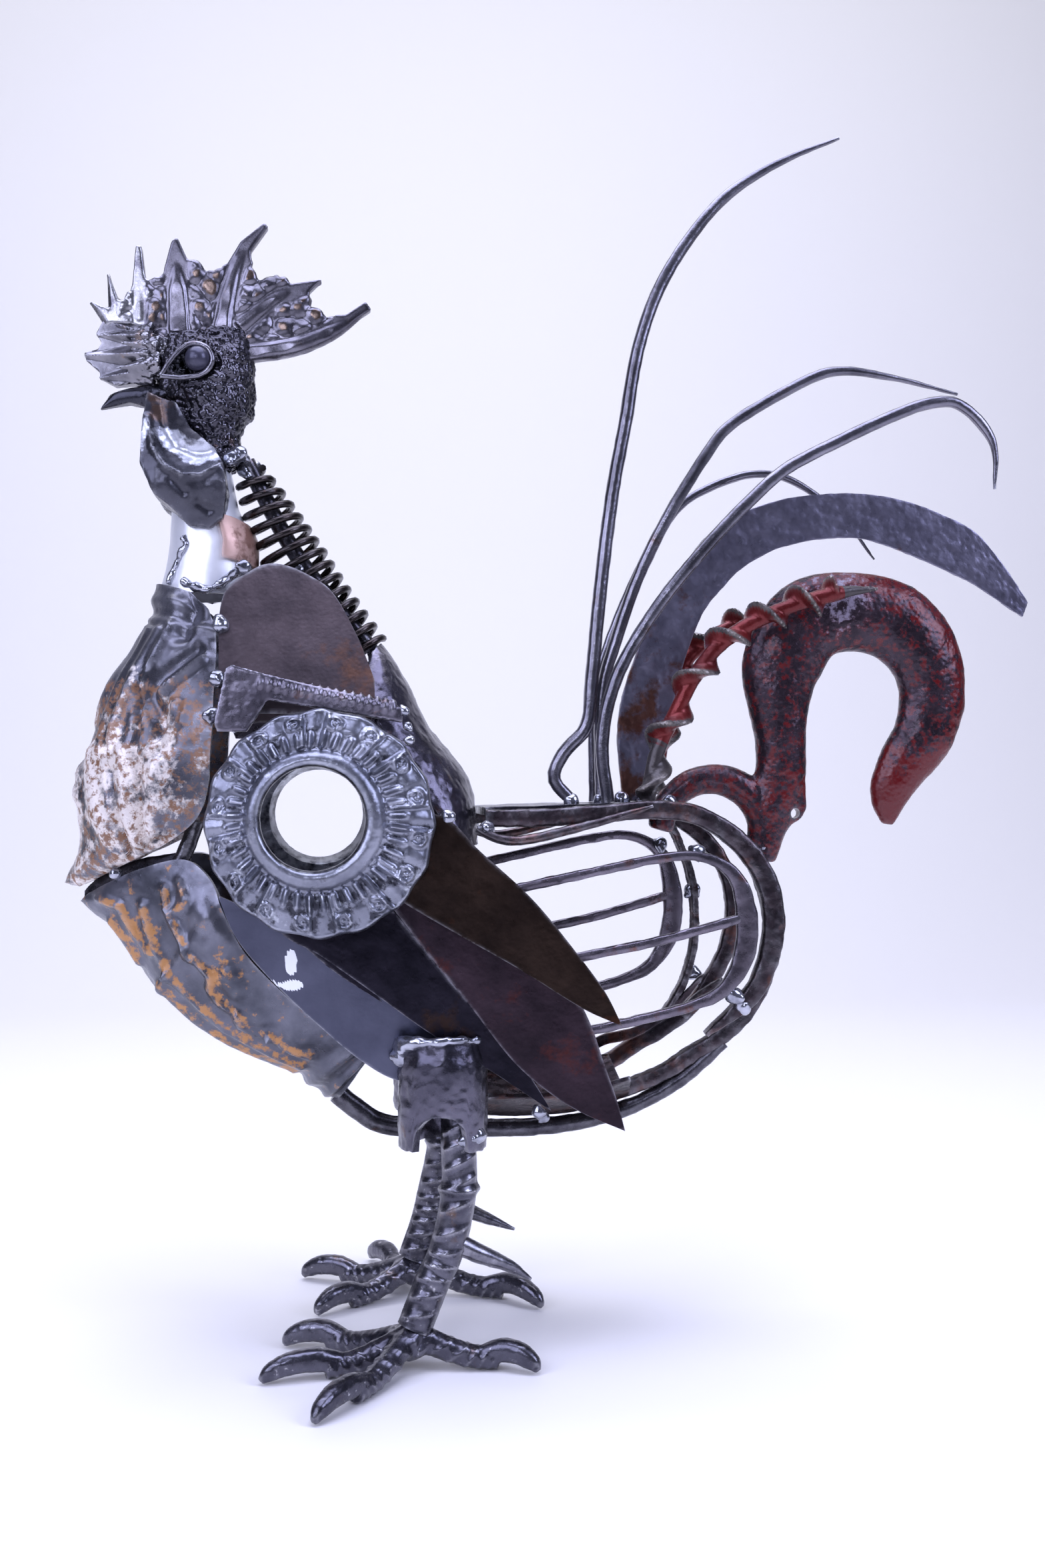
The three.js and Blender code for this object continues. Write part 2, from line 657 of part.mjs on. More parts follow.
const INNER_HOOP = [[62, 266], [69, 250], [75, 234], [77, 215], [76, 193], [70, 174], [60, 157]];
add("inner_hoop", bar(path(INNER_HOOP, 30), () => [2.2, 5], { sides: 4, steps: 8 }), BROWN);
const back = new THREE.BoxGeometry(94, 79, 4, 4, 1, 1).translate(3, 0, 271.7);
add("back_plate", solid(reshape(back, (p) => (p.z += 0.028 * (p.x - 3)))), DARK);
const SADDLE_FEATHER = [
  [-49, 262], [-41, 258], [-31, 256], [-21, 257], [-4, 261], [12, 265], [29, 270], [39, 273],
];
addPair(
  "saddle_feather",
  rod(path(SADDLE_FEATHER, -51), [2.2, 2.5, 2.4, 2, 0.8], { sides: 6, steps: 8 }),
  DARK,
);

// Legs: thigh collars, shanks of ribbed bar with a spur, and welded feet.
const THIGH = { x: -65.5, top: 160, foot: 106, radius: 21.5, wall: 4.3 };
function thigh() {
  const { x, top, foot, radius, wall } = THIGH;
  const pipe = [
    [radius - wall, foot], [radius, foot], [radius + 0.8, foot + 18], [radius + 0.6, foot + 36],
    [radius - 1.5, top], [radius - wall - 1.5, top], [radius - wall, foot],
  ].map(([r, z]) => new THREE.Vector2(r, z));
  const geometry = new THREE.LatheGeometry(pipe, 12).rotateX(Math.PI / 2);
  const notch = rod(route([[x - 4, -60, 112], [x - 4, 0, 112]]), [11, 11], {
    sides: 9,
    steps: 1,
    side: UP,
  });
  return solid(geometry.translate(x, 0, 0)).subtract(notch).translate([0, -THIGH_Y, 0]);
}
addPair("thigh", thigh(), DARK);
const FLANK = [
  [-174, 230], [-145, 218], [-100, 186], [-54, 154], [-46, 134], [-87, 138], [-105, 148],
  [-126, 166], [-151, 191], [-166, 210],
];
addPair(
  "flank_plate",
  sheet(FLANK, -55, SHEET, { lean: (x, z) => 0.08 * (230 - z) }),
  GREY,
);

const BELLY = [
  [-118, 124], [-106, 114], [-96, 108], [-84, 105.5], [-40, 104], [-15, 104], [13, 107],
  [41, 115.5], [62, 127], [76, 138], [86, 147],
];
add("belly_rod", rod(path(BELLY, 0), [5.4, 5.2, 4.6, 4.2, 4], { sides: 5, steps: 11 }), DARK);
addPair(
  "belly_plate",
  bar(route([[-42, -20, 120], [-20, -20, 119.5], [5, -20, 121], [32, -20, 128]]), () => [1.5, 18], {
    sides: 4,
    steps: 4,
    side: new THREE.Vector3(0, 0.9, -0.44),
  }),
  BROWN,
);

const LEGS = {
  near: {
    shank: [
      [-58, -48, 127], [-58, -51, 108], [-58, -54, 85], [-64, -56, 57], [-71, -57, 42], [-80, -59, 20],
    ],
    spur: [[-62, -56, 61], [-46, -54, 53], [-32, -51, 46], [-22, -49, 39]],
    ankle: [-81, -59, 17],
    toes: [
      { end: [-109, -101], tip: [-127, -125] }, { end: [-123, -67], tip: [-153, -73] },
      { end: [-121, -28], tip: [-144, -22] }, { end: [-39, -63], tip: [-21, -73] },
    ],
  },
  far: {
    shank: [
      [-58, 48, 127], [-58, 52, 108], [-60, 55, 82], [-65, 58, 57], [-69, 59, 40], [-76, 58, 20],
    ],
    spur: [[-62, 58, 52], [-48, 56, 47], [-33, 54, 41], [-20, 52, 36]],
    ankle: [-76, 58, 17],
    toes: [
      { end: [-88, 104], tip: [-99, 125] }, { end: [-115, 82], tip: [-138, 92] },
      { end: [-111, 36], tip: [-129, 22] }, { end: [-27, 44], tip: [-8, 22] },
    ],
  },
};
const SHANK_RADII = [REBAR, REBAR, REBAR + 0.8, REBAR, REBAR, REBAR - 0.4];
const floor = solid(new THREE.BoxGeometry(600, 400, 40).translate(0, 0, -20));
function foot({ ankle, toes }) {
  const limbs = toes.map(({ end, tip }) => {
    const [ex, ey] = end;
    const part = (k) => [ankle[0] + k * (ex - ankle[0]), ankle[1] + k * (ey - ankle[1])];
    const line = route([ankle, [...part(0.62), 7.5], [ex, ey, 4.4]]);
    const toe = rod(line, [TOE, TOE], { sides: 6, steps: 2, side: UP });
    const knuckle = [ex + 0.25 * (tip[0] - ex), ey + 0.25 * (tip[1] - ey)];
    const claw = route([[...part(0.72), 13], [...knuckle, 13.5], [...tip, 0.6]]);
    return toe.add(rod(claw, [4.6, 5.4, 4.4, 1], { sides: 5, steps: 3, side: UP }));
  });
  return limbs.reduce((all, limb) => all.add(limb)).subtract(floor);
}
for (const [name, leg] of Object.entries(LEGS)) {
  add("foot_" + name, foot(leg), DARK);
  add("shank_" + name, rod(route(leg.shank), SHANK_RADII, { sides: 6, steps: 5 }), DARK);
  add("spur_" + name, rod(route(leg.spur), [5.4, 4.6, 3, 0.9], { sides: 7, steps: 5 }), GREY);
}

export default rooster;
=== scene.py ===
"""Scrap metal rooster: the dressed model of a cock welded from found iron and steel.

Lengths are written in millimetres, in the frame of the solids: head toward -X, near side toward -Y,
+Z up. Every finished mesh is scaled to metres.
"""
import sys
import logging
import math
import random
from dataclasses import dataclass
from enum import Enum
from typing import Callable, Iterable, Sequence

import bmesh
import bpy
from mathutils import Matrix, Vector, noise


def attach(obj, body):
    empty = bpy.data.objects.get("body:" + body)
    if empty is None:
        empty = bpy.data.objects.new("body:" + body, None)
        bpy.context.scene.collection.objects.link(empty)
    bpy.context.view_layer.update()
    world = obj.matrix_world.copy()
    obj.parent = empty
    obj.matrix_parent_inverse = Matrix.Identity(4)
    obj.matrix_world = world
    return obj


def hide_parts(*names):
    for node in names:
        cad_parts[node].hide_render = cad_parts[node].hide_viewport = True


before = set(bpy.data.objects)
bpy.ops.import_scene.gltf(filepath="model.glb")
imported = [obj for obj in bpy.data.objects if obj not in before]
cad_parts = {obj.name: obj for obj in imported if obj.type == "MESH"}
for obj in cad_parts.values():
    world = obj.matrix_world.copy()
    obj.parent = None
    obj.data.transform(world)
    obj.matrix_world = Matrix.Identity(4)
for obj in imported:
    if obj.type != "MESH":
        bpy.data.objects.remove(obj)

LOG = logging.getLogger("rooster")
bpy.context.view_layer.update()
MM = 0.001
TAU = 2 * math.pi
ACROSS = Vector((0, 1, 0))
UP = Vector((0, 0, 1))

Pair = tuple[float, float]
Triple = tuple[float, float, float]
Spot = tuple[float, float, float, float]
Sizes = tuple[float, ...]
Line = tuple[Pair, ...]
Path = tuple[Triple, ...]
Colour = Triple
Solid = bmesh.types.BMesh
Socket = bpy.types.NodeSocket
Half = Callable[[float], Pair]
Marks = Callable[[Vector], float]
Relief = Callable[[float, float, Vector], float]
Surface = Callable[[float, float], Vector]


def clamp(value: float, low: float = 0.0, high: float = 1.0) -> float:
    """Keep a value between two limits."""
    return max(low, min(high, value))


def smooth(low: float, high: float, value: float) -> float:
    """Ease from 0 at low to 1 at high."""
    t = clamp((value - low) / (high - low))
    return t * t * (3 - 2 * t)


def bump(value: float, centre: float, width: float) -> float:
    """A bell of height 1 round a centre."""
    return math.exp(-(((value - centre) / width) ** 2))


def ramp(values: Sequence[float], t: float) -> float:
    """Straight change between the values of a list, for t from 0 to 1.

    Args:
        values: the values, evenly spread.
        t: the place along the list.

    Returns:
        The value at t.
    """
    at = clamp(t) * (len(values) - 1)
    k = min(int(at), len(values) - 2)
    return values[k] + (values[k + 1] - values[k]) * (at - k)


def cloud(point: Vector, size: float, octaves: int = 3) -> float:
    """Soft noise about 0, whose lumps are as many millimetres across as size."""
    return noise.fractal(point / size, 1.0, 2.0, octaves)


def puddles(point: Vector, size: float) -> float:
    """Height, from about -0.5 to 0.5, of weld puddles as many millimetres across as size."""
    near = noise.voronoi(point / size)[0][0]
    return 0.5 - 1.3 * near * near


@dataclass(frozen=True)
class Stroke:
    """A ridge (or, with a height below 0, a groove) along (x, z) points of the side view."""

    points: Line
    width: float
    height: float

    def reach(self, p: Vector) -> float:
        """Share of the stroke at a place.

        Args:
            p: the place.

        Returns:
            1 on the stroke's line, fading over its width.
        """
        best = 1e9
        for (ax, az), (bx, bz) in zip(self.points, self.points[1:]):
            dx, dz = bx - ax, bz - az
            t = clamp(((p.x - ax) * dx + (p.z - az) * dz) / (dx * dx + dz * dz))
            best = min(best, (p.x - ax - t * dx) ** 2 + (p.z - az - t * dz) ** 2)
        return math.exp(-best / self.width**2)


def carved(strokes: Iterable[Stroke], p: Vector) -> float:
    """Height of all strokes together at a place."""
    return sum(stroke.height * stroke.reach(p) for stroke in strokes)


class Route:
    """A smooth path through points, eased by the square root of their distances."""

    def __init__(self, points: Iterable[Sequence[float]], y: float = 0.0) -> None:
        """Take points in space, or (x, z) pairs on the plane y."""
        self.points = [Vector(p) if len(p) == 3 else Vector((p[0], y, p[1])) for p in points]

    def point(self, t: float) -> Vector:
        """The place at t, where each stretch between two points has an equal share of t.

        Args:
            t: from 0 to 1.

        Returns:
            The place in millimetres.
        """
        pts = self.points
        last = len(pts) - 1
        at = clamp(t) * last
        k = min(int(at), last - 1)
        w = at - k
        p1, p2 = pts[k], pts[k + 1]
        p0 = pts[k - 1] if k else 2 * p1 - p2
        p3 = pts[k + 2] if k + 2 <= last else 2 * p2 - p1
        d0, d1, d2 = (max((b - a).length ** 0.5, 1e-4) for a, b in ((p0, p1), (p1, p2), (p2, p3)))
        m1 = ((p1 - p0) / d0 - (p2 - p0) / (d0 + d1) + (p2 - p1) / d1) * d1
        m2 = ((p2 - p1) / d1 - (p3 - p1) / (d1 + d2) + (p3 - p2) / d2) * d1
        return (
            p1
            + m1 * w
            + (3 * p2 - 3 * p1 - 2 * m1 - m2) * w**2
            + (2 * p1 - 2 * p2 + m1 + m2) * w**3
        )

    def tangent(self, t: float) -> Vector:
        """The direction of travel at t."""
        return (self.point(min(t + 1e-3, 1)) - self.point(max(t - 1e-3, 0))).normalized()

    def even(self, steps: int) -> list[float]:
        """Values of t at even distances along the path.

        Args:
            steps: how many stretches to make.

        Returns:
            steps + 1 values from 0 to 1.
        """
        fine = 12 * len(self.points)
        places = [self.point(k / fine) for k in range(fine + 1)]
        run = [0.0]
        for a, b in zip(places, places[1:]):
            run.append(run[-1] + (b - a).length)
        values, k = [], 0
        for step in range(steps + 1):
            want = run[-1] * step / steps
            while k < fine - 1 and run[k + 1] < want:
                k += 1
            span = max(run[k + 1] - run[k], 1e-9)
            values.append(clamp((k + (want - run[k]) / span) / fine))
        return values


def oval(p: Vector, spot: Spot) -> float:
    """Distance of p from the middle of an oval (x, z and two half sizes), 1 on the oval."""
    x, z, a, b = spot
    return math.hypot((p.x - x) / a, (p.z - z) / b)


def verts_of(geometry: Iterable[object]) -> list[bmesh.types.BMVert]:
    """The vertices among the results of an operator."""
    return [g for g in geometry if isinstance(g, bmesh.types.BMVert)]


def face_out(bm: Solid) -> None:
    """Turn the faces of a mesh outwards."""
    bmesh.ops.recalc_face_normals(bm, faces=bm.faces[:])


def seal(bm: Solid, gap: float) -> None:
    """Merge the points of a mesh that are closer than gap, and turn its faces outwards."""
    bmesh.ops.remove_doubles(bm, verts=bm.verts[:], dist=gap)
    face_out(bm)


def sweep(
    bm: Solid,
    route: Route,
    half: Half,
    steps: int = 24,
    sides: int = 12,
    side: Vector | Callable[[float], Vector] = ACROSS,
    corner: float = 1.0,
    relief: Relief | None = None,
) -> None:
    """Draw a section along a path by repeated extrusion.

    Args:
        bm: the mesh that gets the bar.
        route: the path.
        half: half sizes of the section at t, in the path's plane and along side.
        steps: stretches along the path.
        sides: points round the section.
        side: the direction that the section keeps, or that direction at t.
        corner: 1 for a round section, toward 0 for a square one.
        relief: height over the plain bar, from t, the angle and the place.
    """
    def station(t: float) -> Matrix:
        """Where a unit section goes.

        Args:
            t: the place along the path.

        Returns:
            The matrix that puts the section there.
        """
        along = route.tangent(t)
        keep = side(t) if callable(side) else side
        across = (keep - keep.dot(along) * along).normalized()
        plane = along.cross(across)
        a, b = half(t)
        rows = [plane * max(a, 0.05), across * max(b, 0.05), along, route.point(t)]
        matrix = Matrix.Identity(4)
        for column, vector in enumerate(rows):
            for row in range(3):
                matrix[row][column] = vector[row]
        return matrix

    ring = bmesh.ops.create_circle(bm, cap_ends=False, segments=sides, radius=1)["verts"]
    angles = [math.atan2(v.co.y, v.co.x) for v in ring]
    for v in ring:
        v.co.x = math.copysign(abs(v.co.x) ** corner, v.co.x)
        v.co.y = math.copysign(abs(v.co.y) ** corner, v.co.y)
    stations = route.even(steps)
    here = station(stations[0])
    bmesh.ops.transform(bm, matrix=here, verts=ring)
    edges = list(dict.fromkeys(e for v in ring for e in v.link_edges))
    first, rings = edges, [ring]
    for t in stations[1:]:
        made = bmesh.ops.extrude_edge_only(bm, edges=edges)["geom"]
        new = verts_of(made)
        edges = [g for g in made if isinstance(g, bmesh.types.BMEdge)
                 and g.verts[0] in new and g.verts[1] in new]
        there = station(t)
        bmesh.ops.transform(bm, matrix=there @ here.inverted(), verts=new)
        here = there
        follow = {v: o for v in new for e in v.link_edges if (o := e.other_vert(v)) in rings[-1]}
        after = {o: v for v, o in follow.items()}
        rings.append([after[v] for v in rings[-1]])
    bmesh.ops.edgeloop_fill(bm, edges=first)
    bmesh.ops.edgeloop_fill(bm, edges=edges)
    if relief:
        for t, loop in zip(stations, rings):
            centre = route.point(t)
            for angle, v in zip(angles, loop):
                out = v.co - centre
                v.co += out.normalized() * relief(t, angle, v.co)


def rod(bm: Solid, points: Iterable[Sequence[float]], radii: Sequence[float], y: float = 0.0,
        **options: object) -> None:
    """A round bar through points whose radius follows a list of values."""
    sweep(bm, Route(points, y), lambda t: (ramp(radii, t), ramp(radii, t)), **options)


def grid(bm: Solid, columns: int, rows: int, place: Surface) -> None:
    """A grid of faces laid on a surface.

    Args:
        bm: the mesh that gets the grid.
        columns: cells along u.
        rows: cells along v.
        place: the surface, from u and v, each from 0 to 1.
    """
    made = bmesh.ops.create_grid(bm, x_segments=columns, y_segments=rows, size=1)
    for v in made["verts"]:
        v.co = place((v.co.x + 1) / 2, (v.co.y + 1) / 2)


def thicken(bm: Solid, shift: Callable[[Vector], Vector]) -> None:
    """Give the open faces of a mesh a back, moved from the front by shift.

    Args:
        bm: the mesh.
        shift: the way from a front point to its back point.
    """
    made = bmesh.ops.extrude_face_region(bm, geom=bm.faces[:], use_keep_orig=True)["geom"]
    for v in verts_of(made):
        v.co += shift(v.co)
    face_out(bm)


def plated(bm: Solid, thick: float, edge: float) -> None:
    """Give open faces a thickness away from the near side, and round their edges."""
    thicken(bm, lambda p: Vector((0, thick, 0)))
    soften(bm, edge)


def soften(bm: Solid, offset: float, angle: float = 50.0) -> None:
    """Round the sharp edges of a mesh.

    Args:
        bm: the mesh.
        offset: how far from an edge its round starts.
        angle: an edge that turns by more degrees is sharp.
    """
    limit = math.radians(angle)
    sharp = [e for e in bm.edges if len(e.link_faces) == 2 and e.calc_face_angle(0) > limit]
    bmesh.ops.bevel(bm, geom=sharp, offset=offset, offset_type="OFFSET", segments=2,
                    profile=0.5, affect="EDGES", clamp_overlap=True, material=-1)


def slab(bm: Solid, outline: Sequence[Pair], near: float, thick: float) -> None:
    """A flat piece cut to an outline.

    Args:
        bm: the mesh that gets it.
        outline: its (x, z) points.
        near: y of its near face.
        thick: its thickness, away from the near face.
    """
    face = bm.faces.new([bm.verts.new((x, near, z)) for x, z in outline])
    made = bmesh.ops.extrude_face_region(bm, geom=[face], use_keep_orig=True)["geom"]
    bmesh.ops.translate(bm, verts=verts_of(made), vec=(0, thick, 0))


def lump(bm: Solid, centre: Sequence[float], radii: Sequence[float], rough: float,
         detail: int = 3) -> None:
    """A blob of weld metal: a ball with uneven skin.

    Args:
        bm: the mesh that gets it.
        centre: its middle.
        radii: one radius for each axis.
        rough: how uneven it is, as a share of its size.
        detail: subdivisions of the ball.
    """
    ball = bmesh.ops.create_icosphere(bm, subdivisions=detail, radius=1)["verts"]
    seat = Vector(centre)
    size = sum(radii) / 3
    for v in ball:
        grow = 1 + rough * 1.6 * cloud(seat + v.co * size, size * 0.8, 2)
        v.co = seat + Vector((v.co[k] * radii[k] * grow for k in range(3)))


def fused(bm: Solid, voxel: float, rounds: int = 1) -> Solid:
    """Melt the overlapping bodies of a mesh into one skin.

    Args:
        bm: the bodies, which are used up.
        voxel: the grain of the new skin in millimetres.
        rounds: smoothing passes over it.

    Returns:
        The new mesh.
    """
    face_out(bm)
    mesh = bpy.data.meshes.new("melt")
    bm.to_mesh(mesh)
    bm.free()
    thing = bpy.data.objects.new("melt", mesh)
    bpy.context.scene.collection.objects.link(thing)
    melt = thing.modifiers.new("melt", "REMESH")
    melt.mode = "VOXEL"
    melt.voxel_size = voxel
    graph = bpy.context.evaluated_depsgraph_get()
    skin = bpy.data.meshes.new_from_object(thing.evaluated_get(graph))
    out = bmesh.new()
    out.from_mesh(skin)
    bpy.data.objects.remove(thing)
    bpy.data.meshes.remove(mesh)
    bpy.data.meshes.remove(skin)
    calm(out, rounds)
    return out


def calm(bm: Solid, rounds: int) -> None:
    """Even out the skin of a mesh by as many smoothing passes as rounds."""
    for _ in range(rounds):
        bmesh.ops.smooth_vert(bm, verts=bm.verts[:], factor=0.5, use_axis_x=True,
                              use_axis_y=True, use_axis_z=True)


def roughen(bm: Solid, *layers: tuple[float, float]) -> None:
    """Push the skin in and out along its normals.

    Args:
        bm: the mesh.
        layers: (height, lump size) of each layer of noise, in millimetres.
    """
    bm.normal_update()
    moves = [v.normal * sum(h * cloud(v.co, s) for h, s in layers) for v in bm.verts]
    for v, move in zip(bm.verts, moves):
        v.co += move


def mirrored(bm: Solid) -> Solid:
    """Copy a mesh to the other side of the middle plane.

    Args:
        bm: the mesh, which stays as it is.

    Returns:
        Its mirror image.
    """
    other = bm.copy()
    bmesh.ops.scale(other, vec=(1, -1, 1), verts=other.verts[:])
    bmesh.ops.reverse_faces(other, faces=other.faces[:])
    return other


class Slot(Enum):
    """The record's material slots."""

    DARK = "dark_steel"
    BRIGHT = "bright_steel"
    WELD = "weld_steel"
    CAST = "cast_grey"
    BREAST = "cast_breast"
    BROWN = "plate_brown"
    OXBLOOD = "plate_red"
    NAVY = "plate_navy"
    SLATE = "plate_slate"
    COPPER = "copper_tint"
    PAINT = "red_paint"
    BALL = "ball_black"


class Graph:
    """The nodes of a finish."""

    def __init__(self, material: bpy.types.Material) -> None:
        """Take a new material and find its shader.

        Args:
            material: the material.
        """
        material.use_nodes = True
        self.tree = material.node_tree
        self.shader = self.tree.nodes["Principled BSDF"]

    def feed(self, node: bpy.types.Node, values: dict[str | int, object]) -> None:
        """Fill the inputs of a node.

        Args:
            node: the node.
            values: a number, a colour or another node's output for each input.
        """
        for name, value in values.items():
            if isinstance(value, Socket):
                self.tree.links.new(value, node.inputs[name])
            else:
                plain = (*value, 1.0) if isinstance(value, tuple) else value
                node.inputs[name].default_value = plain

    def add(self, kind: str, values: dict[str | int, object], **settings: str) -> bpy.types.Node:
        """Add a node.

        Args:
            kind: its type.
            values: what its inputs get.
            settings: its own options.

        Returns:
            The node.
        """
        node = self.tree.nodes.new("ShaderNode" + kind)
        for name, value in settings.items():
            setattr(node, name, value)
        self.feed(node, values)
        return node

    def place(self) -> Socket:
        """The object coordinates."""
        return self.add("TexCoord", {}).outputs["Object"]

    def noise(self, scale: float, detail: float = 6.0, rough: float = 0.6) -> Socket:
        """A noise value on object coordinates, with as many lumps to the metre as scale."""
        return self.add("TexNoise", {"Vector": self.place(), "Scale": scale, "Detail": detail,
                                     "Roughness": rough}).outputs["Fac"]

    def span(self, value: Socket, source: Pair, target: Pair = (0.0, 1.0)) -> Socket:
        """Stretch a value from the range source to the range target, held at its ends."""
        return self.add("MapRange", {"Value": value, "From Min": source[0], "From Max": source[1],
                                     "To Min": target[0], "To Max": target[1]}).outputs["Result"]

    def mix(self, share: Socket, below: Socket | Colour, above: Socket | Colour) -> Socket:
        """Mix two colours by the share of the one above."""
        return self.add("Mix", {0: share, 6: below, 7: above}, data_type="RGBA").outputs[2]

    def sum(self, operation: str, a: Socket, b: Socket | float) -> Socket:
        """Work out one value from two."""
        return self.add("Math", {0: a, 1: b}, operation=operation).outputs[0]

    def attribute(self, name: str) -> Socket:
        """The value of a mesh attribute."""
        return self.add("Attribute", {}, attribute_name=name).outputs["Fac"]

    def patch(self, scale: float, share: float, mark: str) -> Socket:
        """Where a patch shows, of stain, paint, painted shade or painted highlight: noise lifted by
        the mesh's own mark.

        Args:
            scale: patches to the metre.
            share: share of the surface that is covered.
            mark: the attribute that adds to or takes from it.

        Returns:
            The socket of the cover.
        """
        total = self.sum("ADD", self.noise(scale, 9.0, 0.68), self.attribute(mark))
        edge = 0.72 - 0.44 * share
        return self.span(total, (edge - 0.05, edge + 0.05))


@dataclass(frozen=True)
class Metal:
    """A worn metal: two base tones in clouds, patches of rust and paint (on a few pieces painted
    shade and painted highlight), and bright wear on edges.
    """

    name: str
    low: Colour
    high: Colour
    # Stain colour: rust or paint, and painted shade on the ring and the neck patch.
    stain: Colour = (0.12, 0.05, 0.03)
    stain_share: float = 0.0
    stain_scale: float = 45.0
    # Second colour: rust, paint or wear, and painted shade in the eye socket and painted highlight
    # on the hook and the wattles.
    second: Colour = (0.7, 0.66, 0.6)
    second_share: float = 0.0
    second_scale: float = 60.0
    wear: Colour = (0.55, 0.55, 0.57)
    wear_share: float = 0.6
    wear_scale: float = 160.0
    metallic: float = 0.9
    paint_metallic: float = 0.1
    rough: Pair = (0.28, 0.5)
    cloud_scale: float = 30.0
    grain_scale: float = 420.0
    grain: float = 0.25
    grain_depth: float = 0.0006
    pit_scale: float = 260.0
    pit: float = 0.0
    pit_depth: float = 0.001
    coat: float = 0.0
    coat_rough: float = 0.12
    painted: bool = False

    def material(self) -> bpy.types.Material:
        """The finish as a node material, made once.

        Returns:
            The material of this name.
        """
        found = bpy.data.materials.get(self.name)
        if found:
            return found
        made = bpy.data.materials.new(self.name)
        graph = Graph(made)
        self._colour(graph)
        self._surface(graph)
        return made

    def _colour(self, graph: Graph) -> None:
        """Set the base colour, the metallic value and the coat.

        Args:
            graph: the nodes of the material.
        """
        clouds = graph.span(graph.noise(self.cloud_scale), (0.36, 0.64))
        colour = graph.mix(clouds, self.low, self.high)
        cover: list[Socket | float] = []
        for mark, share, scale, tone in (
            ("stain", self.stain_share, self.stain_scale, self.stain),
            ("second", self.second_share, self.second_scale, self.second),
        ):
            if share > 0:
                cover.append(graph.patch(scale, share, mark))
                colour = graph.mix(cover[-1], colour, tone)
        rub = graph.span(graph.noise(self.wear_scale, 4.0), (0.35, 0.6), (0.0, self.wear_share))
        worn = graph.sum("MULTIPLY", graph.attribute("wear"), rub)
        metallic: Socket | float = self.metallic
        if self.painted:
            most = graph.sum("MAXIMUM", *(cover + [0.0])[:2])
            metallic = graph.span(most, (0.0, 1.0), (self.metallic, self.paint_metallic))
        graph.feed(graph.shader, {"Base Color": graph.mix(worn, colour, self.wear),
                                  "Metallic": metallic})
        if self.coat:
            graph.feed(graph.shader, {"Coat Weight": self.coat, "Coat Roughness": self.coat_rough})

    def _surface(self, graph: Graph) -> None:
        """Set the roughness and the bump.

        Args:
            graph: the nodes of the material.
        """
        shine = graph.noise(self.grain_scale * 0.35, 8.0, 0.7)
        bump = graph.add("Bump", {"Strength": self.grain, "Distance": self.grain_depth,
                                  "Height": graph.noise(self.grain_scale, 6.0, 0.65)})
        if self.pit:
            cells = graph.add("TexVoronoi", {"Vector": graph.place(), "Scale": self.pit_scale},
                              feature="SMOOTH_F1")
            bump = graph.add("Bump", {"Strength": self.pit, "Distance": self.pit_depth,
                                      "Height": cells.outputs["Distance"],
                                      "Normal": bump.outputs["Normal"]})
        graph.feed(graph.shader, {"Roughness": graph.span(shine, (0.3, 0.7), self.rough),
                                  "Normal": bump.outputs["Normal"]})


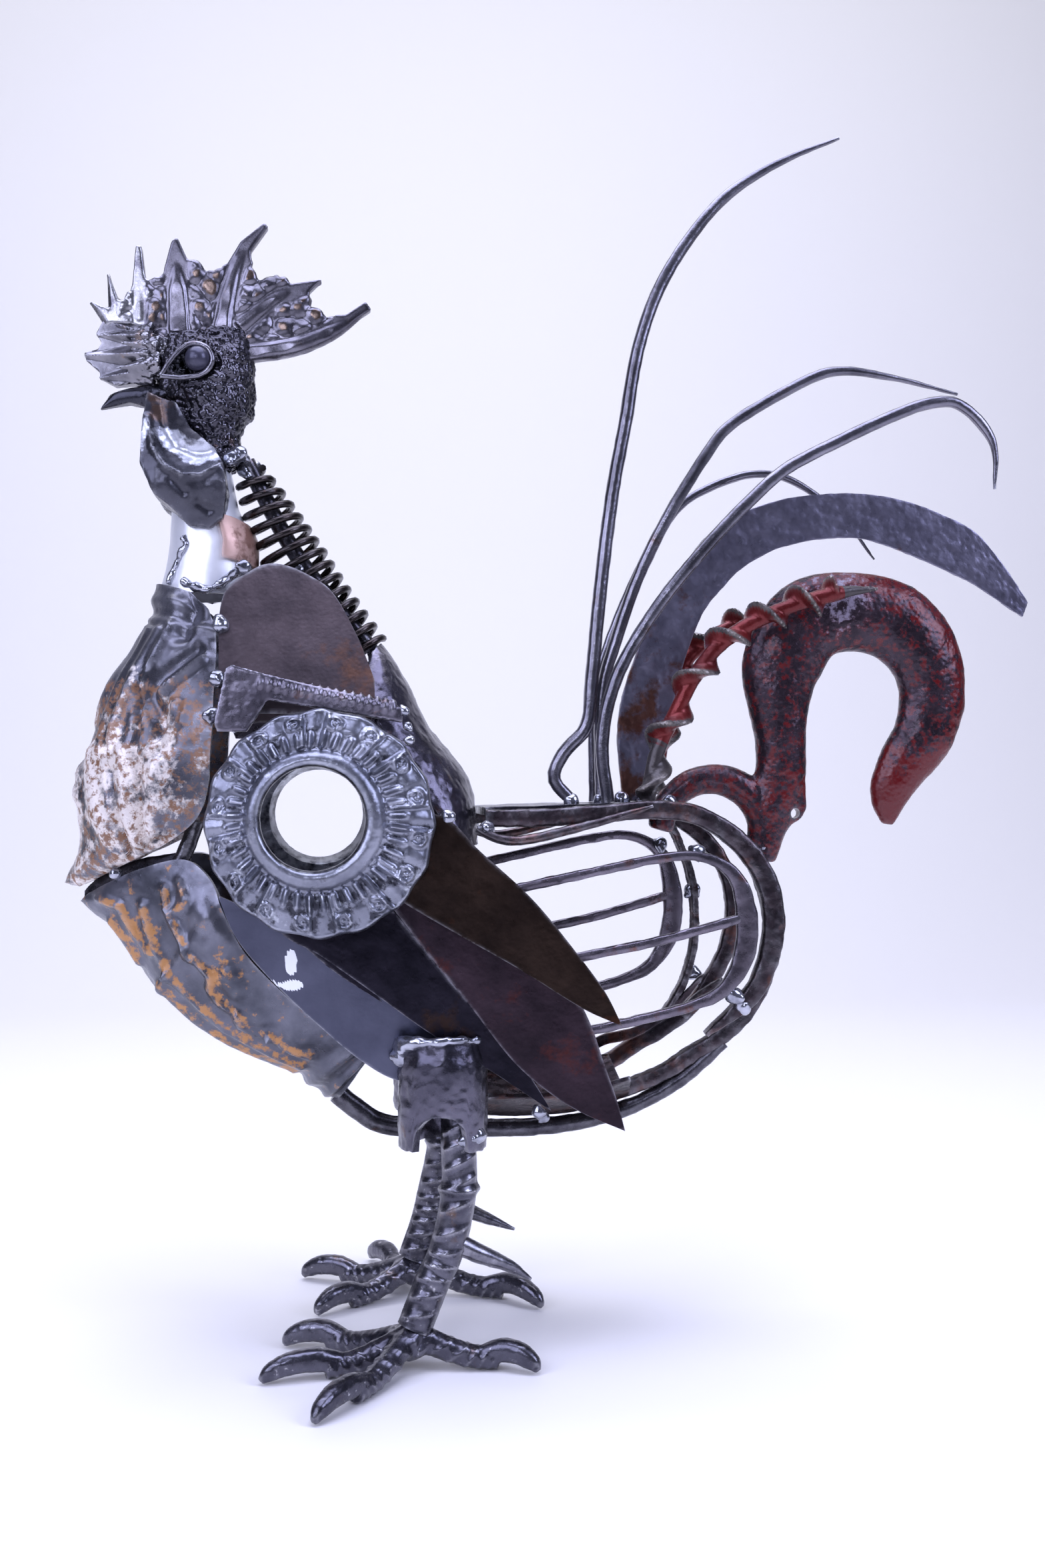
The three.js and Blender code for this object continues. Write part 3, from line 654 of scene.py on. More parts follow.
class Finish(Enum):
    """The finishes of the rooster, each with the slot that it belongs to."""

    DARK_STEEL = (Slot.DARK, Metal(
        "black_iron", (0.035, 0.032, 0.040), (0.085, 0.080, 0.095), (0.10, 0.045, 0.030), 0.12,
        rough=(0.18, 0.34), pit=0.15))
    TINE_STEEL = (Slot.DARK, Metal(
        "tine_steel", (0.11, 0.105, 0.125), (0.25, 0.24, 0.275), (0.13, 0.07, 0.045), 0.15,
        rough=(0.14, 0.3), pit=0.08, wear_share=0.4, pit_scale=320.0))
    BAND_IRON = (Slot.BROWN, Metal(
        "band_iron", (0.028, 0.022, 0.027), (0.070, 0.052, 0.058), (0.10, 0.042, 0.032), 0.3,
        rough=(0.2, 0.42), pit=0.4, grain=0.35))
    GRATE = (Slot.BROWN, Metal(
        "grate_iron", (0.085, 0.074, 0.089), (0.19, 0.167, 0.197), (0.13, 0.055, 0.042), 0.2,
        wear_share=0.4, rough=(0.2, 0.38), pit=0.15))
    WELD = (Slot.WELD, Metal(
        "weld_bead", (0.20, 0.205, 0.24), (0.50, 0.51, 0.57), (0.11, 0.06, 0.04), 0.1,
        wear_share=0.3, rough=(0.1, 0.22), cloud_scale=90.0, grain=0.08))
    COMB = (Slot.BRIGHT, Metal(
        "comb_weld", (0.090, 0.085, 0.102), (0.21, 0.20, 0.23), (0.20, 0.145, 0.115), 0.45, 60.0,
        (0.36, 0.355, 0.37), 0.3, 80.0, wear_share=0.05, rough=(0.18, 0.34), cloud_scale=70.0,
        grain=0.1))
    BEAK = (Slot.BRIGHT, Metal(
        "beak_steel", (0.10, 0.097, 0.11), (0.26, 0.252, 0.27), (0.2, 0.13, 0.08), 0.2,
        wear_share=0.6, rough=(0.14, 0.28), cloud_scale=60.0, grain=0.12))
    LOWER_BEAK = (Slot.CAST, Metal(
        "lower_beak_steel", (0.018, 0.018, 0.024), (0.045, 0.045, 0.056), wear_share=0.1,
        rough=(0.16, 0.34), grain=0.12))
    SATIN = (Slot.BRIGHT, Metal(
        "satin_tube", (0.76, 0.78, 0.82), (0.90, 0.91, 0.94), (0.30, 0.28, 0.31), 0.1, metallic=0.5,
        rough=(0.3, 0.42), grain=0.08))
    # Face: its second colour, near black, is painted shade in the eye socket.
    FACE = (Slot.WELD, Metal(
        "face_weld", (0.022, 0.021, 0.028), (0.085, 0.081, 0.098), (0.12, 0.07, 0.05), 0.1,
        second=(0.004, 0.004, 0.006), second_share=0.02, wear_share=0.22, rough=(0.08, 0.24),
        pit=0.1, pit_scale=420.0, grain=0.1))
    # Wattle: its second colour, silver, is bare metal in the scoop together with a painted highlight
    # from above.
    WATTLE = (Slot.CAST, Metal(
        "wattle_iron", (0.036, 0.036, 0.046), (0.082, 0.082, 0.1), (0.105, 0.068, 0.055), 0.25,
        90.0, (0.60, 0.62, 0.69), 0.3, 60.0, wear=(0.6, 0.6, 0.63), wear_share=0.5, metallic=0.6,
        rough=(0.18, 0.34), pit=0.12, pit_scale=300.0, grain=0.14))
    # Patch: its stain colour, a darker brown, is painted shade on the tail side.
    COPPER = (Slot.COPPER, Metal(
        "heat_tinted_patch", (0.46, 0.285, 0.235), (0.62, 0.41, 0.34), (0.26, 0.14, 0.105), 0.3,
        90.0, metallic=0.3, rough=(0.26, 0.4), grain=0.12))
    SPRING = (Slot.DARK, Metal(
        "spring_wire", (0.018, 0.014, 0.014), (0.050, 0.038, 0.035), (0.11, 0.055, 0.035), 0.2,
        wear_share=0.06, rough=(0.14, 0.3)))
    HACKLE = (Slot.BROWN, Metal(
        "hackle_sheet", (0.055, 0.043, 0.048), (0.105, 0.081, 0.087), (0.12, 0.062, 0.045), 0.28,
        stain_scale=32.0, metallic=0.8, rough=(0.3, 0.46), pit=0.08, pit_scale=520.0, grain=0.14))
    TEETH = (Slot.SLATE, Metal(
        "toothed_iron", (0.105, 0.096, 0.118), (0.21, 0.194, 0.23), (0.14, 0.07, 0.045), 0.22,
        rough=(0.2, 0.38), pit=0.1, wear_share=0.5, grain=0.15))
    BREAST_UPPER = (Slot.BREAST, Metal(
        "breast_upper_cast", (0.080, 0.080, 0.096), (0.18, 0.18, 0.21), (0.80, 0.73, 0.67), 0.38,
        stain_scale=70.0, second=(0.24, 0.125, 0.07), second_share=0.33, second_scale=250.0,
        metallic=0.75, rough=(0.2, 0.4), pit=0.12, grain=0.15, wear_share=0.3, painted=True))
    BREAST_LOWER = (Slot.BREAST, Metal(
        "breast_lower_cast", (0.075, 0.078, 0.096), (0.17, 0.172, 0.205), (0.46, 0.22, 0.075), 0.36,
        stain_scale=170.0, metallic=0.75, rough=(0.22, 0.42), pit=0.12, grain=0.15, wear_share=0.3,
        painted=True))
    # Ring: its stain colour, near black, is painted shade in the bore and on the back, and also
    # darkens the wreath's hollows and the lower half.
    RING = (Slot.CAST, Metal(
        "ring_zinc", (0.15, 0.157, 0.19), (0.30, 0.31, 0.36), (0.045, 0.046, 0.058), 0.2, 120.0,
        (0.46, 0.48, 0.53), 0.2, 90.0, wear=(0.66, 0.68, 0.73), wear_share=0.5, rough=(0.24, 0.38),
        pit=0.05, grain=0.15))
    FLANK = (Slot.SLATE, Metal(
        "flank_sheet", (0.064, 0.067, 0.098), (0.094, 0.098, 0.139), (0.09, 0.053, 0.045), 0.12,
        second=(0.88, 0.90, 0.94), second_share=0.02, rough=(0.28, 0.42), grain=0.12, painted=True))
    FEATHER_OLIVE = (Slot.BROWN, Metal(
        "feather_olive", (0.016, 0.0096, 0.0076), (0.036, 0.022, 0.016), (0.062, 0.025, 0.014), 0.3,
        stain_scale=38.0, rough=(0.26, 0.42), pit=0.06, pit_scale=520.0, wear=(0.34, 0.32, 0.33),
        wear_share=0.8, grain=0.12))
    FEATHER_RED = (Slot.OXBLOOD, Metal(
        "feather_red", (0.020, 0.014, 0.019), (0.046, 0.029, 0.038), (0.080, 0.024, 0.022), 0.3,
        stain_scale=38.0, rough=(0.26, 0.42), pit=0.06, pit_scale=520.0, wear=(0.34, 0.32, 0.35),
        wear_share=0.8, grain=0.12))
    FEATHER_NAVY = (Slot.NAVY, Metal(
        "feather_navy", (0.009, 0.008, 0.013), (0.022, 0.019, 0.029), (0.030, 0.017, 0.014), 0.22,
        rough=(0.24, 0.4), pit=0.06, pit_scale=520.0, wear=(0.34, 0.33, 0.37), wear_share=0.8,
        grain=0.12))
    SADDLE = (Slot.DARK, Metal(
        "saddle_sheet", (0.056, 0.052, 0.068), (0.135, 0.126, 0.162), (0.12, 0.06, 0.04), 0.15,
        rough=(0.18, 0.3), pit=0.5, pit_scale=270.0, wear_share=0.2))
    SICKLE = (Slot.NAVY, Metal(
        "sickle_blade", (0.150, 0.143, 0.192), (0.205, 0.196, 0.255), (0.13, 0.06, 0.045), 0.2,
        rough=(0.26, 0.42), pit=0.25, pit_scale=300.0, grain=0.2, wear_share=0.6))
    # Hook: its second colour, violet grey, is a painted highlight on the top of the bow.
    HOOK = (Slot.PAINT, Metal(
        "hook_paint", (0.026, 0.017, 0.024), (0.070, 0.048, 0.062), (0.105, 0.004, 0.005), 0.5,
        240.0, (0.22, 0.19, 0.245), 0.3, 240.0, metallic=0.7, rough=(0.2, 0.36), pit=0.35,
        pit_scale=420.0, wear_share=0.15, coat=0.08, painted=True))
    AUGER = (Slot.PAINT, Metal(
        "auger_paint", (0.10, 0.008, 0.008), (0.165, 0.015, 0.014), (0.060, 0.052, 0.052), 0.3,
        stain_scale=60.0, metallic=0.5, wear=(0.46, 0.41, 0.36), wear_share=0.5,
        rough=(0.22, 0.38)))
    THIGH = (Slot.DARK, Metal(
        "thigh_pipe", (0.050, 0.048, 0.064), (0.135, 0.128, 0.16), (0.10, 0.055, 0.040), 0.12,
        rough=(0.2, 0.32), pit=0.25, pit_scale=270.0, wear_share=0.3))
    REBAR = (Slot.DARK, Metal(
        "rebar", (0.068, 0.066, 0.084), (0.14, 0.137, 0.165), (0.13, 0.08, 0.055), 0.14,
        second=(0.55, 0.54, 0.56), second_share=0.14, second_scale=260.0, wear=(0.66, 0.65, 0.67),
        wear_share=0.8, rough=(0.18, 0.34), pit=0.05, grain=0.1))
    EYE_BALL = (Slot.BALL, Metal(
        "bearing_ball", (0.050, 0.049, 0.075), (0.066, 0.064, 0.098), wear_share=0.0, metallic=0.5,
        rough=(0.28, 0.34), grain=0.03))

    @property
    def slot(self) -> str:
        """The name of the record's slot."""
        return self.value[0].value

    @property
    def metal(self) -> Metal:
        """The finish itself."""
        return self.value[1]


def edge_wear(bm: Solid) -> list[float]:
    """Wear of a mesh, most where its skin stands out.

    Args:
        bm: the mesh, with its normals up to date.

    Returns:
        A share from 0 to 1 for each vertex.
    """
    bm.verts.index_update()
    rings = [[e.other_vert(v).index for e in v.link_edges] for v in bm.verts]
    places = [v.co.copy() for v in bm.verts]
    proud = []
    for v, ring in zip(bm.verts, rings):
        mean = sum((places[k] for k in ring), Vector()) / max(len(ring), 1)
        span = sum((places[k] - v.co).length for k in ring) / max(len(ring), 1)
        proud.append((v.co - mean).dot(v.normal) / max(span, 1e-6))
    for _ in range(2):
        proud = [0.5 * own + 0.5 * sum(proud[k] for k in ring) / max(len(ring), 1)
                 for own, ring in zip(proud, rings)]
    return [clamp(out * 4.5 - 0.2) for out in proud]


def forge(
    bm: Solid,
    name: str,
    finish: Finish,
    stain: Marks | None = None,
    second: Marks | None = None,
    crease: float = 38.0,
    solid: bool = True,
) -> None:
    """Turn a mesh in millimetres into a finished piece that rides on the rooster.

    Args:
        bm: the mesh, which is used up.
        name: the solid that the piece stands for, or else its own name.
        finish: its finish.
        stain: more or less of the finish's stain colour at a place: rust or paint, and painted shade
            on the ring and the neck patch.
        second: more or less of its second colour: rust, paint or wear, and painted shade in the eye
            socket and painted highlight on the hook and the wattles.
        second: more or less of its second stain.
        crease: the angle in degrees past which an edge looks sharp.
        solid: whether it stands for a solid.
    """
    title = name + "_dress" if solid else name
    seal(bm, 0.002)
    bm.normal_update()
    places = [v.co.copy() for v in bm.verts]
    marks = {
        "wear": edge_wear(bm),
        "stain": [stain(p) if stain else 0.0 for p in places],
        "second": [second(p) if second else 0.0 for p in places],
    }
    bmesh.ops.scale(bm, vec=(MM, MM, MM), verts=bm.verts[:])
    mesh = bpy.data.meshes.new(title)
    bm.to_mesh(mesh)
    bm.free()
    for mark, values in marks.items():
        mesh.attributes.new(mark, "FLOAT", "POINT").data.foreach_set("value", values)
    mesh.polygons.foreach_set("use_smooth", [True] * len(mesh.polygons))
    mesh.set_sharp_from_angle(angle=math.radians(crease))
    piece = bpy.data.objects.new(title, mesh)
    bpy.context.scene.collection.objects.link(piece)
    mesh.materials.append(finish.metal.material())
    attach(piece, "root")
    finish.slot
    if solid:
        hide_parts(name)
    LOG.info("%s: %d faces", title, len(mesh.polygons))


def forge_pair(bm: Solid, name: str, finish: Finish, **marks: object) -> None:
    """Finish a piece of the near side and its mirror image on the far side.

    Args:
        bm: the near mesh, which is used up.
        name: the name of both solids, without their side.
        finish: their finish.
        marks: more for forge, as the near side has it.
    """
    def flipped(field: Marks) -> Marks:
        """The marks of the near side, read from the far side."""
        return lambda p: field(Vector((p.x, -p.y, p.z)))

    other = mirrored(bm)
    far = {k: flipped(f) if k in ("stain", "second") else f for k, f in marks.items()}
    forge(bm, name + "_near", finish, **marks)
    forge(other, name + "_far", finish, **far)


def between(a: Sequence[Pair], b: Sequence[Pair], y: float) -> Surface:
    """The flat surface on the plane y between two (x, z) edges: u along them, v from a to b."""
    first, second = Route(a, y), Route(b, y)
    return lambda u, v: first.point(u).lerp(second.point(u), v)


@dataclass
class Head:
    """Skull, eyes, beak, comb and wattles."""

    eye: Triple = (-187, -22, 497)
    eye_radius: float = 6.4
    lid_y: float = -23.2
    lid_radii: Sizes = (1.2, 1.45, 1.45, 1.45, 1.2)
    eye_line: Line = (
        (-205, 487.5), (-198, 498), (-190.5, 504), (-183, 502.8), (-179.6, 496.5),
        (-183.5, 490), (-194, 487), (-205, 487.2),
    )
    upper_beak: Line = (
        (-236, 521), (-240, 514), (-237, 509), (-239, 506), (-246, 504), (-245, 500),
        (-238, 494), (-238, 491), (-230, 487), (-216, 489), (-204, 491), (-203, 511), (-222, 517),
    )
    lower_beak: Line = (
        (-238, 475), (-233, 483), (-222, 486.2), (-204, 488), (-201, 481), (-208, 478),
        (-216, 477), (-223, 478.5),
    )
    upper_wedge: tuple[Pair, Pair] = ((-203, 7.5), (-246, 0.6))
    lower_wedge: tuple[Pair, Pair] = ((-201, 10.6), (-238, 2.2))
    comb: Line = (
        (-234, 519), (-243, 530), (-232, 526), (-234, 545), (-228, 530), (-222, 535),
        (-220, 559), (-217, 559), (-215, 542), (-207, 543), (-202, 562), (-199, 564),
        (-194, 553), (-188, 550), (-180, 546), (-174, 551), (-167, 563), (-155, 573),
        (-153, 571), (-162, 558), (-161, 551), (-157, 544), (-149, 546), (-141, 542),
        (-125, 545), (-132, 538), (-131, 531), (-123, 526), (-113, 527), (-103, 534),
        (-100, 530), (-120, 516), (-133, 509), (-157, 503), (-174, 502), (-192, 506),
        (-222, 518.5),
    )
    web_half: float = 3.4
    ribs: tuple[tuple[Line, Sizes], ...] = (
        (((-198, 515), (-199, 537), (-200.3, 562)), (6.0, 5.2, 1.4)),
        (((-218, 521), (-218, 540), (-218.5, 558)), (3.6, 3.0, 1.0)),
        (((-231, 519), (-232, 532), (-234, 545)), (2.8, 2.2, 0.8)),
        (((-233, 518), (-238, 525), (-243, 530)), (2.6, 2.1, 0.8)),
        (((-177, 515), (-173, 537), (-168, 553), (-154.5, 572)), (5.2, 4.6, 3.8, 1.2)),
        (((-168, 519), (-148, 535), (-126, 544)), (4.8, 3.9, 1.3)),
        (((-164, 505.5), (-140, 510), (-120, 518.5), (-101.5, 531.5)), (4.8, 4.8, 4.2, 1.6)),
    )
    skull: tuple[Sizes, ...] = (
        (-169.5, 447, 6.5, 9), (-176.5, 454, 11.5, 13), (-183, 467, 20, 17.5),
        (-183, 481, 23, 20.5), (-184.5, 491, 24.5, 21.5), (-184.5, 503, 23.5, 20),
        (-186, 515, 20, 13),
    )
    socket: Spot = (-189, 496, 14, 9)
    socket_shade: Spot = (-190, 496, 13, 8.5)
    wattle: Line = (
        (-212, 480), (-214, 463), (-215, 443), (-208, 428), (-199, 421), (-191, 413),
        (-181, 412), (-174, 417), (-172, 430), (-174, 444), (-179, 453), (-190, 461),
        (-197, 474),
    )
    wattle_near: float = -31.0
    wattle_thick: float = 28.0
    wattle_strokes: tuple[Stroke, ...] = (
        Stroke(((-206, 478), (-204, 464), (-198, 453), (-188, 449), (-178, 451)), 8.5, -8.0),
        Stroke(((-211, 466), (-208.5, 451), (-202.5, 442), (-194, 437.5), (-185, 437.5),
                (-176, 443)), 2.0, 2.4),
        Stroke(((-198, 434), (-193, 429)), 2.0, -1.6),
        Stroke(((-186, 424), (-181, 421)), 2.2, -1.4),
    )
    shards: tuple[tuple[Triple, Triple, float], ...] = (
        ((-212, 3, 511), (-240, 1.2, 513), 9.4), ((-212, 3.5, 502), (-246, 1.2, 502.5), 9.4),
        ((-211, 4.5, 494), (-238.5, 1.6, 491), 7.6), ((-208, 8.5, 506), (-227, 7.5, 508), 5.8),
        ((-207, 9.5, 497), (-229, 8, 495), 5.8), ((-220, 2.5, 515), (-237, 1, 520.5), 4.2),
    )

    def build(self) -> None:
        """Make every piece of the head."""
        self._eyes()
        self._beak()
        self._comb()
        self._skull()
        self._wattles()

    def _eyes(self) -> None:
        """Bearing balls in loops of bent rod."""
        ball = bmesh.new()
        bmesh.ops.create_uvsphere(ball, u_segments=40, v_segments=24, radius=self.eye_radius)
        bmesh.ops.translate(ball, verts=ball.verts[:], vec=self.eye)
        forge_pair(ball, "eye_ball", Finish.EYE_BALL)
        lid = bmesh.new()
        line = [(x, self.lid_y - 1.6 * bump(x, -206, 9), z) for x, z in self.eye_line]
        rod(lid, line, self.lid_radii, steps=60)
        roughen(lid, (0.18, 3.0))
        forge_pair(lid, "eye_ring", Finish.TINE_STEEL)

    @staticmethod
    def _wedge(outline: Sequence[Pair], root: Pair, tip: Pair) -> Solid:
        """A thick outline that thins toward the beak's tip.

        Args:
            outline: its side view.
            root: x and half thickness at the skull.
            tip: x and half thickness at the point.

        Returns:
            The body, not yet fused.
        """
        bm = bmesh.new()
        slab(bm, outline, -1, 2)
        for v in bm.verts:
            share = (v.co.x - root[0]) / (tip[0] - root[0])
            v.co.y *= root[1] + (tip[1] - root[1]) * share
        return bm

    def _beak(self) -> None:
        """Upper beak of sharp shards that point forward, and the plain hooked lower one."""
        upper = self._wedge(self.upper_beak, *self.upper_wedge)
        for root, tip, size in self.shards:
            for face in (-1, 1):
                start, end = ((p[0], face * p[1], p[2]) for p in (root, tip))
                rod(upper, [start, end], [size, 0.4], steps=2, sides=4)
        upper = fused(upper, 0.6, 0)
        self._pit(upper, lambda p: smooth(-222, -212, p.x), (1.3, 4.0), (0.5, 1.8))
        forge(upper, "upper_beak", Finish.BEAK, crease=24)
        lower = fused(self._wedge(self.lower_beak, *self.lower_wedge), 0.6, 3)
        for v in lower.verts:
            tall = 0.6 + 5.2 * smooth(-242, -226, v.co.x)
            off = (v.co.z - 482 - 0.06 * (v.co.x + 220) + 5 * bump(v.co.x, -238, 6)) / tall
            v.co.y *= math.sqrt(max(0.06, 1 - off * off))
        self._pit(lower, lambda p: smooth(-222, -210, p.x), (0.9, 3.0), (0.4, 1.6))
        forge(lower, "lower_beak", Finish.LOWER_BEAK)

    @staticmethod
    def _pit(bm: Solid, share: Marks, *layers: Pair) -> None:
        """Lay weld puddles over a skin.

        Args:
            bm: the mesh.
            share: how much of them a place gets.
            layers: (height, size) of each layer of puddles.
        """
        bm.normal_update()
        moves = [v.normal * share(v.co) * sum(h * puddles(v.co, s) for h, s in layers)
                 for v in bm.verts]
        for v, move in zip(bm.verts, moves):
            v.co += move

    def _comb(self) -> None:
        """Smooth ribs that fan out of the skull, with webs of weld puddles between them."""
        bm = bmesh.new()
        slab(bm, self.comb, -self.web_half, 2 * self.web_half)
        for line, radii in self.ribs:
            sweep(bm, Route(line), lambda t, r=radii: (ramp(r, t), 1.1 * ramp(r, t)),
                  steps=14, sides=16, corner=0.88)
        bm = fused(bm, 0.72)
        blades = [Stroke(line, 0.95 * max(radii), 1.0) for line, radii in self.ribs]

        def web(p: Vector) -> float:
            """Share of a place that lies between the ribs."""
            return 1 - smooth(0.12, 0.4, max(blade.reach(p) for blade in blades))

        self._pit(bm, web, (3.4, 7.6), (0.5, 3.2))
        for v in bm.verts:
            flat = self._ground(v.co)
            if abs(v.co.y) > flat:
                v.co.y = math.copysign(flat + 0.15 * (abs(v.co.y) - flat), v.co.y)
        calm(bm, 1)
        forge(bm, "comb", Finish.COMB, crease=180,
              stain=lambda p: web(p) * (0.3 * smooth(-0.25, 0.1, abs(p.y) - self._ground(p))) - 0.15,
              second=lambda p: 0.36 * smooth(-200, -222, p.x) - 0.2)

    @staticmethod
    def _ground(p: Vector) -> float:
        """How far from the middle plane the puddles of the comb are ground flat."""
        return 4.7 + 1.1 * cloud(p, 16.0, 2)

    def _skull(self) -> None:
        """The pitted lump of weld that holds the head together."""
        bm = bmesh.new()
        line = [(x, 0, z) for x, z, _, _ in self.skull]
        along = [a for _, _, a, _ in self.skull]
        across = [b for _, _, _, b in self.skull]
        sweep(bm, Route(line), lambda t: (ramp(along, t), ramp(across, t)), steps=30, sides=40)
        bm = fused(bm, 0.65)
        for v in bm.verts:
            gone = oval(v.co, self.socket)
            if gone < 1 and abs(v.co.y) > 8:
                v.co.y *= 1 - 0.3 * (1 - gone**3)
        self._pit(bm, lambda p: 1.0, (1.7, 6.5), (1.5, 2.6))
        # The second mark paints near-black shade into the eye socket.
        forge(bm, "head", Finish.FACE, crease=180,
              second=lambda p: 1.2 * smooth(1.0, 0.85, oval(p, self.socket_shade)) - 0.6)

    def _wattles(self) -> None:
        """Thick cast drops with a smooth scoop on the outer face and a rim below it."""
        bm = bmesh.new()
        slab(bm, self.wattle, self.wattle_near, self.wattle_thick)
        bm = fused(bm, 0.9, 2)
        for v in bm.verts:
            if v.co.y < -14:
                v.co.y -= carved(self.wattle_strokes, v.co)
                v.co.y += 8 * smooth(436, 408, v.co.z) + 2.5 * smooth(-206, -214, v.co.x)
        roughen(bm, (0.3, 7.0), (0.14, 2.0))
        scoop = self.wattle_strokes[0]
        # The second mark is bright silver in the scoop, partly bare metal and partly a painted
        # highlight from above, and lighter along the front edge.
        forge_pair(bm, "wattle", Finish.WATTLE,
                   second=lambda p: 0.6 * scoop.reach(p) * smooth(470, 458, p.z)
                   + 0.3 * smooth(-209, -213, p.x) - 0.3,
                   stain=lambda p: 0.3 * scoop.reach(p) * smooth(456, 468, p.z) - 0.15)


@dataclass
class Neck:
    """Neck tube with its patch, and the coil spring on the rod of the nape."""

    sections: tuple[Sizes, ...] = (
        (-185, 380, 23.5, 23.5), (-182.5, 396, 22, 22), (-181.5, 407, 21.5, 21.5),
        (-185, 425, 17, 18), (-187, 455, 13, 14),
    )
    wall: float = 3.5
    patch_angles: Pair = (-1.25, -0.08)
    patch_heights: Pair = (393, 421)
    patch_axis: Triple = (-184, 0, 0)
    patch_gap: float = 0.5
    patch_thick: float = 2.4
    spring_line: Path = (
        (-162.5, 0, 444), (-143.5, 0, 406), (-124, 0, 379), (-102, 0, 353),
    )
    spring_radii: Sizes = (7.2, 11.5, 14.5, 15, 13.5, 12, 10.5)
    wire: float = 2.0
    turns: int = 14
    coil_side: Triple = (0.56, 0, -0.83)
    rod_line: Path = ((-164, 0, 450), (-141, 0, 406), (-121, 0, 379), (-100, 0, 354))
    rod_radius: float = 4.3

    def build(self) -> None:
        """Make every piece of the neck."""
        self._tube()
        self._patch()
        self._spring()

    def _skin(self, turn: float, z: float, out: float) -> Vector:
        """A place on the neck.

        Args:
            turn: angle round it, 0 toward the tail and negative on the near side.
            z: height.
            out: distance outside its skin.

        Returns:
            The place.
        """
        heights = [s[1] for s in self.sections]
        k = max(i for i, h in enumerate(heights[:-1]) if h <= max(z, heights[0]))
        t = clamp((z - heights[k]) / (heights[k + 1] - heights[k]))
        x, _, a, b = (p + (q - p) * t for p, q in zip(self.sections[k], self.sections[k + 1]))
        return Vector((x + (a + out) * math.cos(turn), (b + out) * math.sin(turn), z))

    def _tube(self) -> None:
        """A rolled tube, open at its foot."""
        bm = bmesh.new()
        foot, top = self.sections[0][1], self.sections[-1][1]
        grid(bm, 48, 30, lambda u, v: self._skin(TAU * u, foot + (top - foot) * v, 0))
        seal(bm, 0.05)
        bmesh.ops.solidify(bm, geom=bm.faces[:], thickness=self.wall)
        roughen(bm, (0.25, 14.0), (0.08, 3.0))
        forge(bm, "neck_tube", Finish.SATIN)

    def _patch(self) -> None:
        """A heat-tinted patch bent round the tube."""
        bm = bmesh.new()

        def place(u: float, v: float) -> Vector:
            """The inner face of the patch, u round the neck toward the tail and v upward."""
            z = ramp(self.patch_heights, v) + 5 * (1 - u) * (1 - v) - 6 * u * v
            return self._skin(ramp(self.patch_angles, u), z, self.patch_gap)

        grid(bm, 16, 16, place)
        axis = Vector(self.patch_axis)
        thicken(bm, lambda p: (Vector((p.x, p.y, 0)) - axis).normalized() * self.patch_thick)
        soften(bm, 0.5)
        roughen(bm, (0.3, 9.0))
        # The stain mark browns and darkens the tail side of the patch: painted shade where it turns
        # away from the light.
        forge(bm, "neck_patch", Finish.COPPER, stain=lambda p: 0.2 * smooth(-174, -163, p.x) - 0.06)

    def _spring(self) -> None:
        """Round wire wound over the rod."""
        axis = Route(self.spring_line)
        count = 20 * self.turns
        stations = axis.even(count)
        points = []
        for k, t in enumerate(stations):
            out = axis.tangent(t).cross(ACROSS)
            turn = TAU * self.turns * k / count
            reach = ramp(self.spring_radii, k / count)
            points.append(axis.point(t) + out * reach * math.cos(turn)
                          + ACROSS * reach * math.sin(turn))
        bm = bmesh.new()
        rod(bm, points, [self.wire, self.wire], steps=count, sides=8,
            side=Vector(self.coil_side))
        forge(bm, "neck_spring", Finish.SPRING, crease=60)
        core = bmesh.new()
        rod(core, self.rod_line, [self.rod_radius] * 2, steps=30, sides=16)
        roughen(core, (0.2, 4.0))
        forge(core, "nape_rod", Finish.DARK_STEEL)


Row = tuple[float, float, float, float, float]


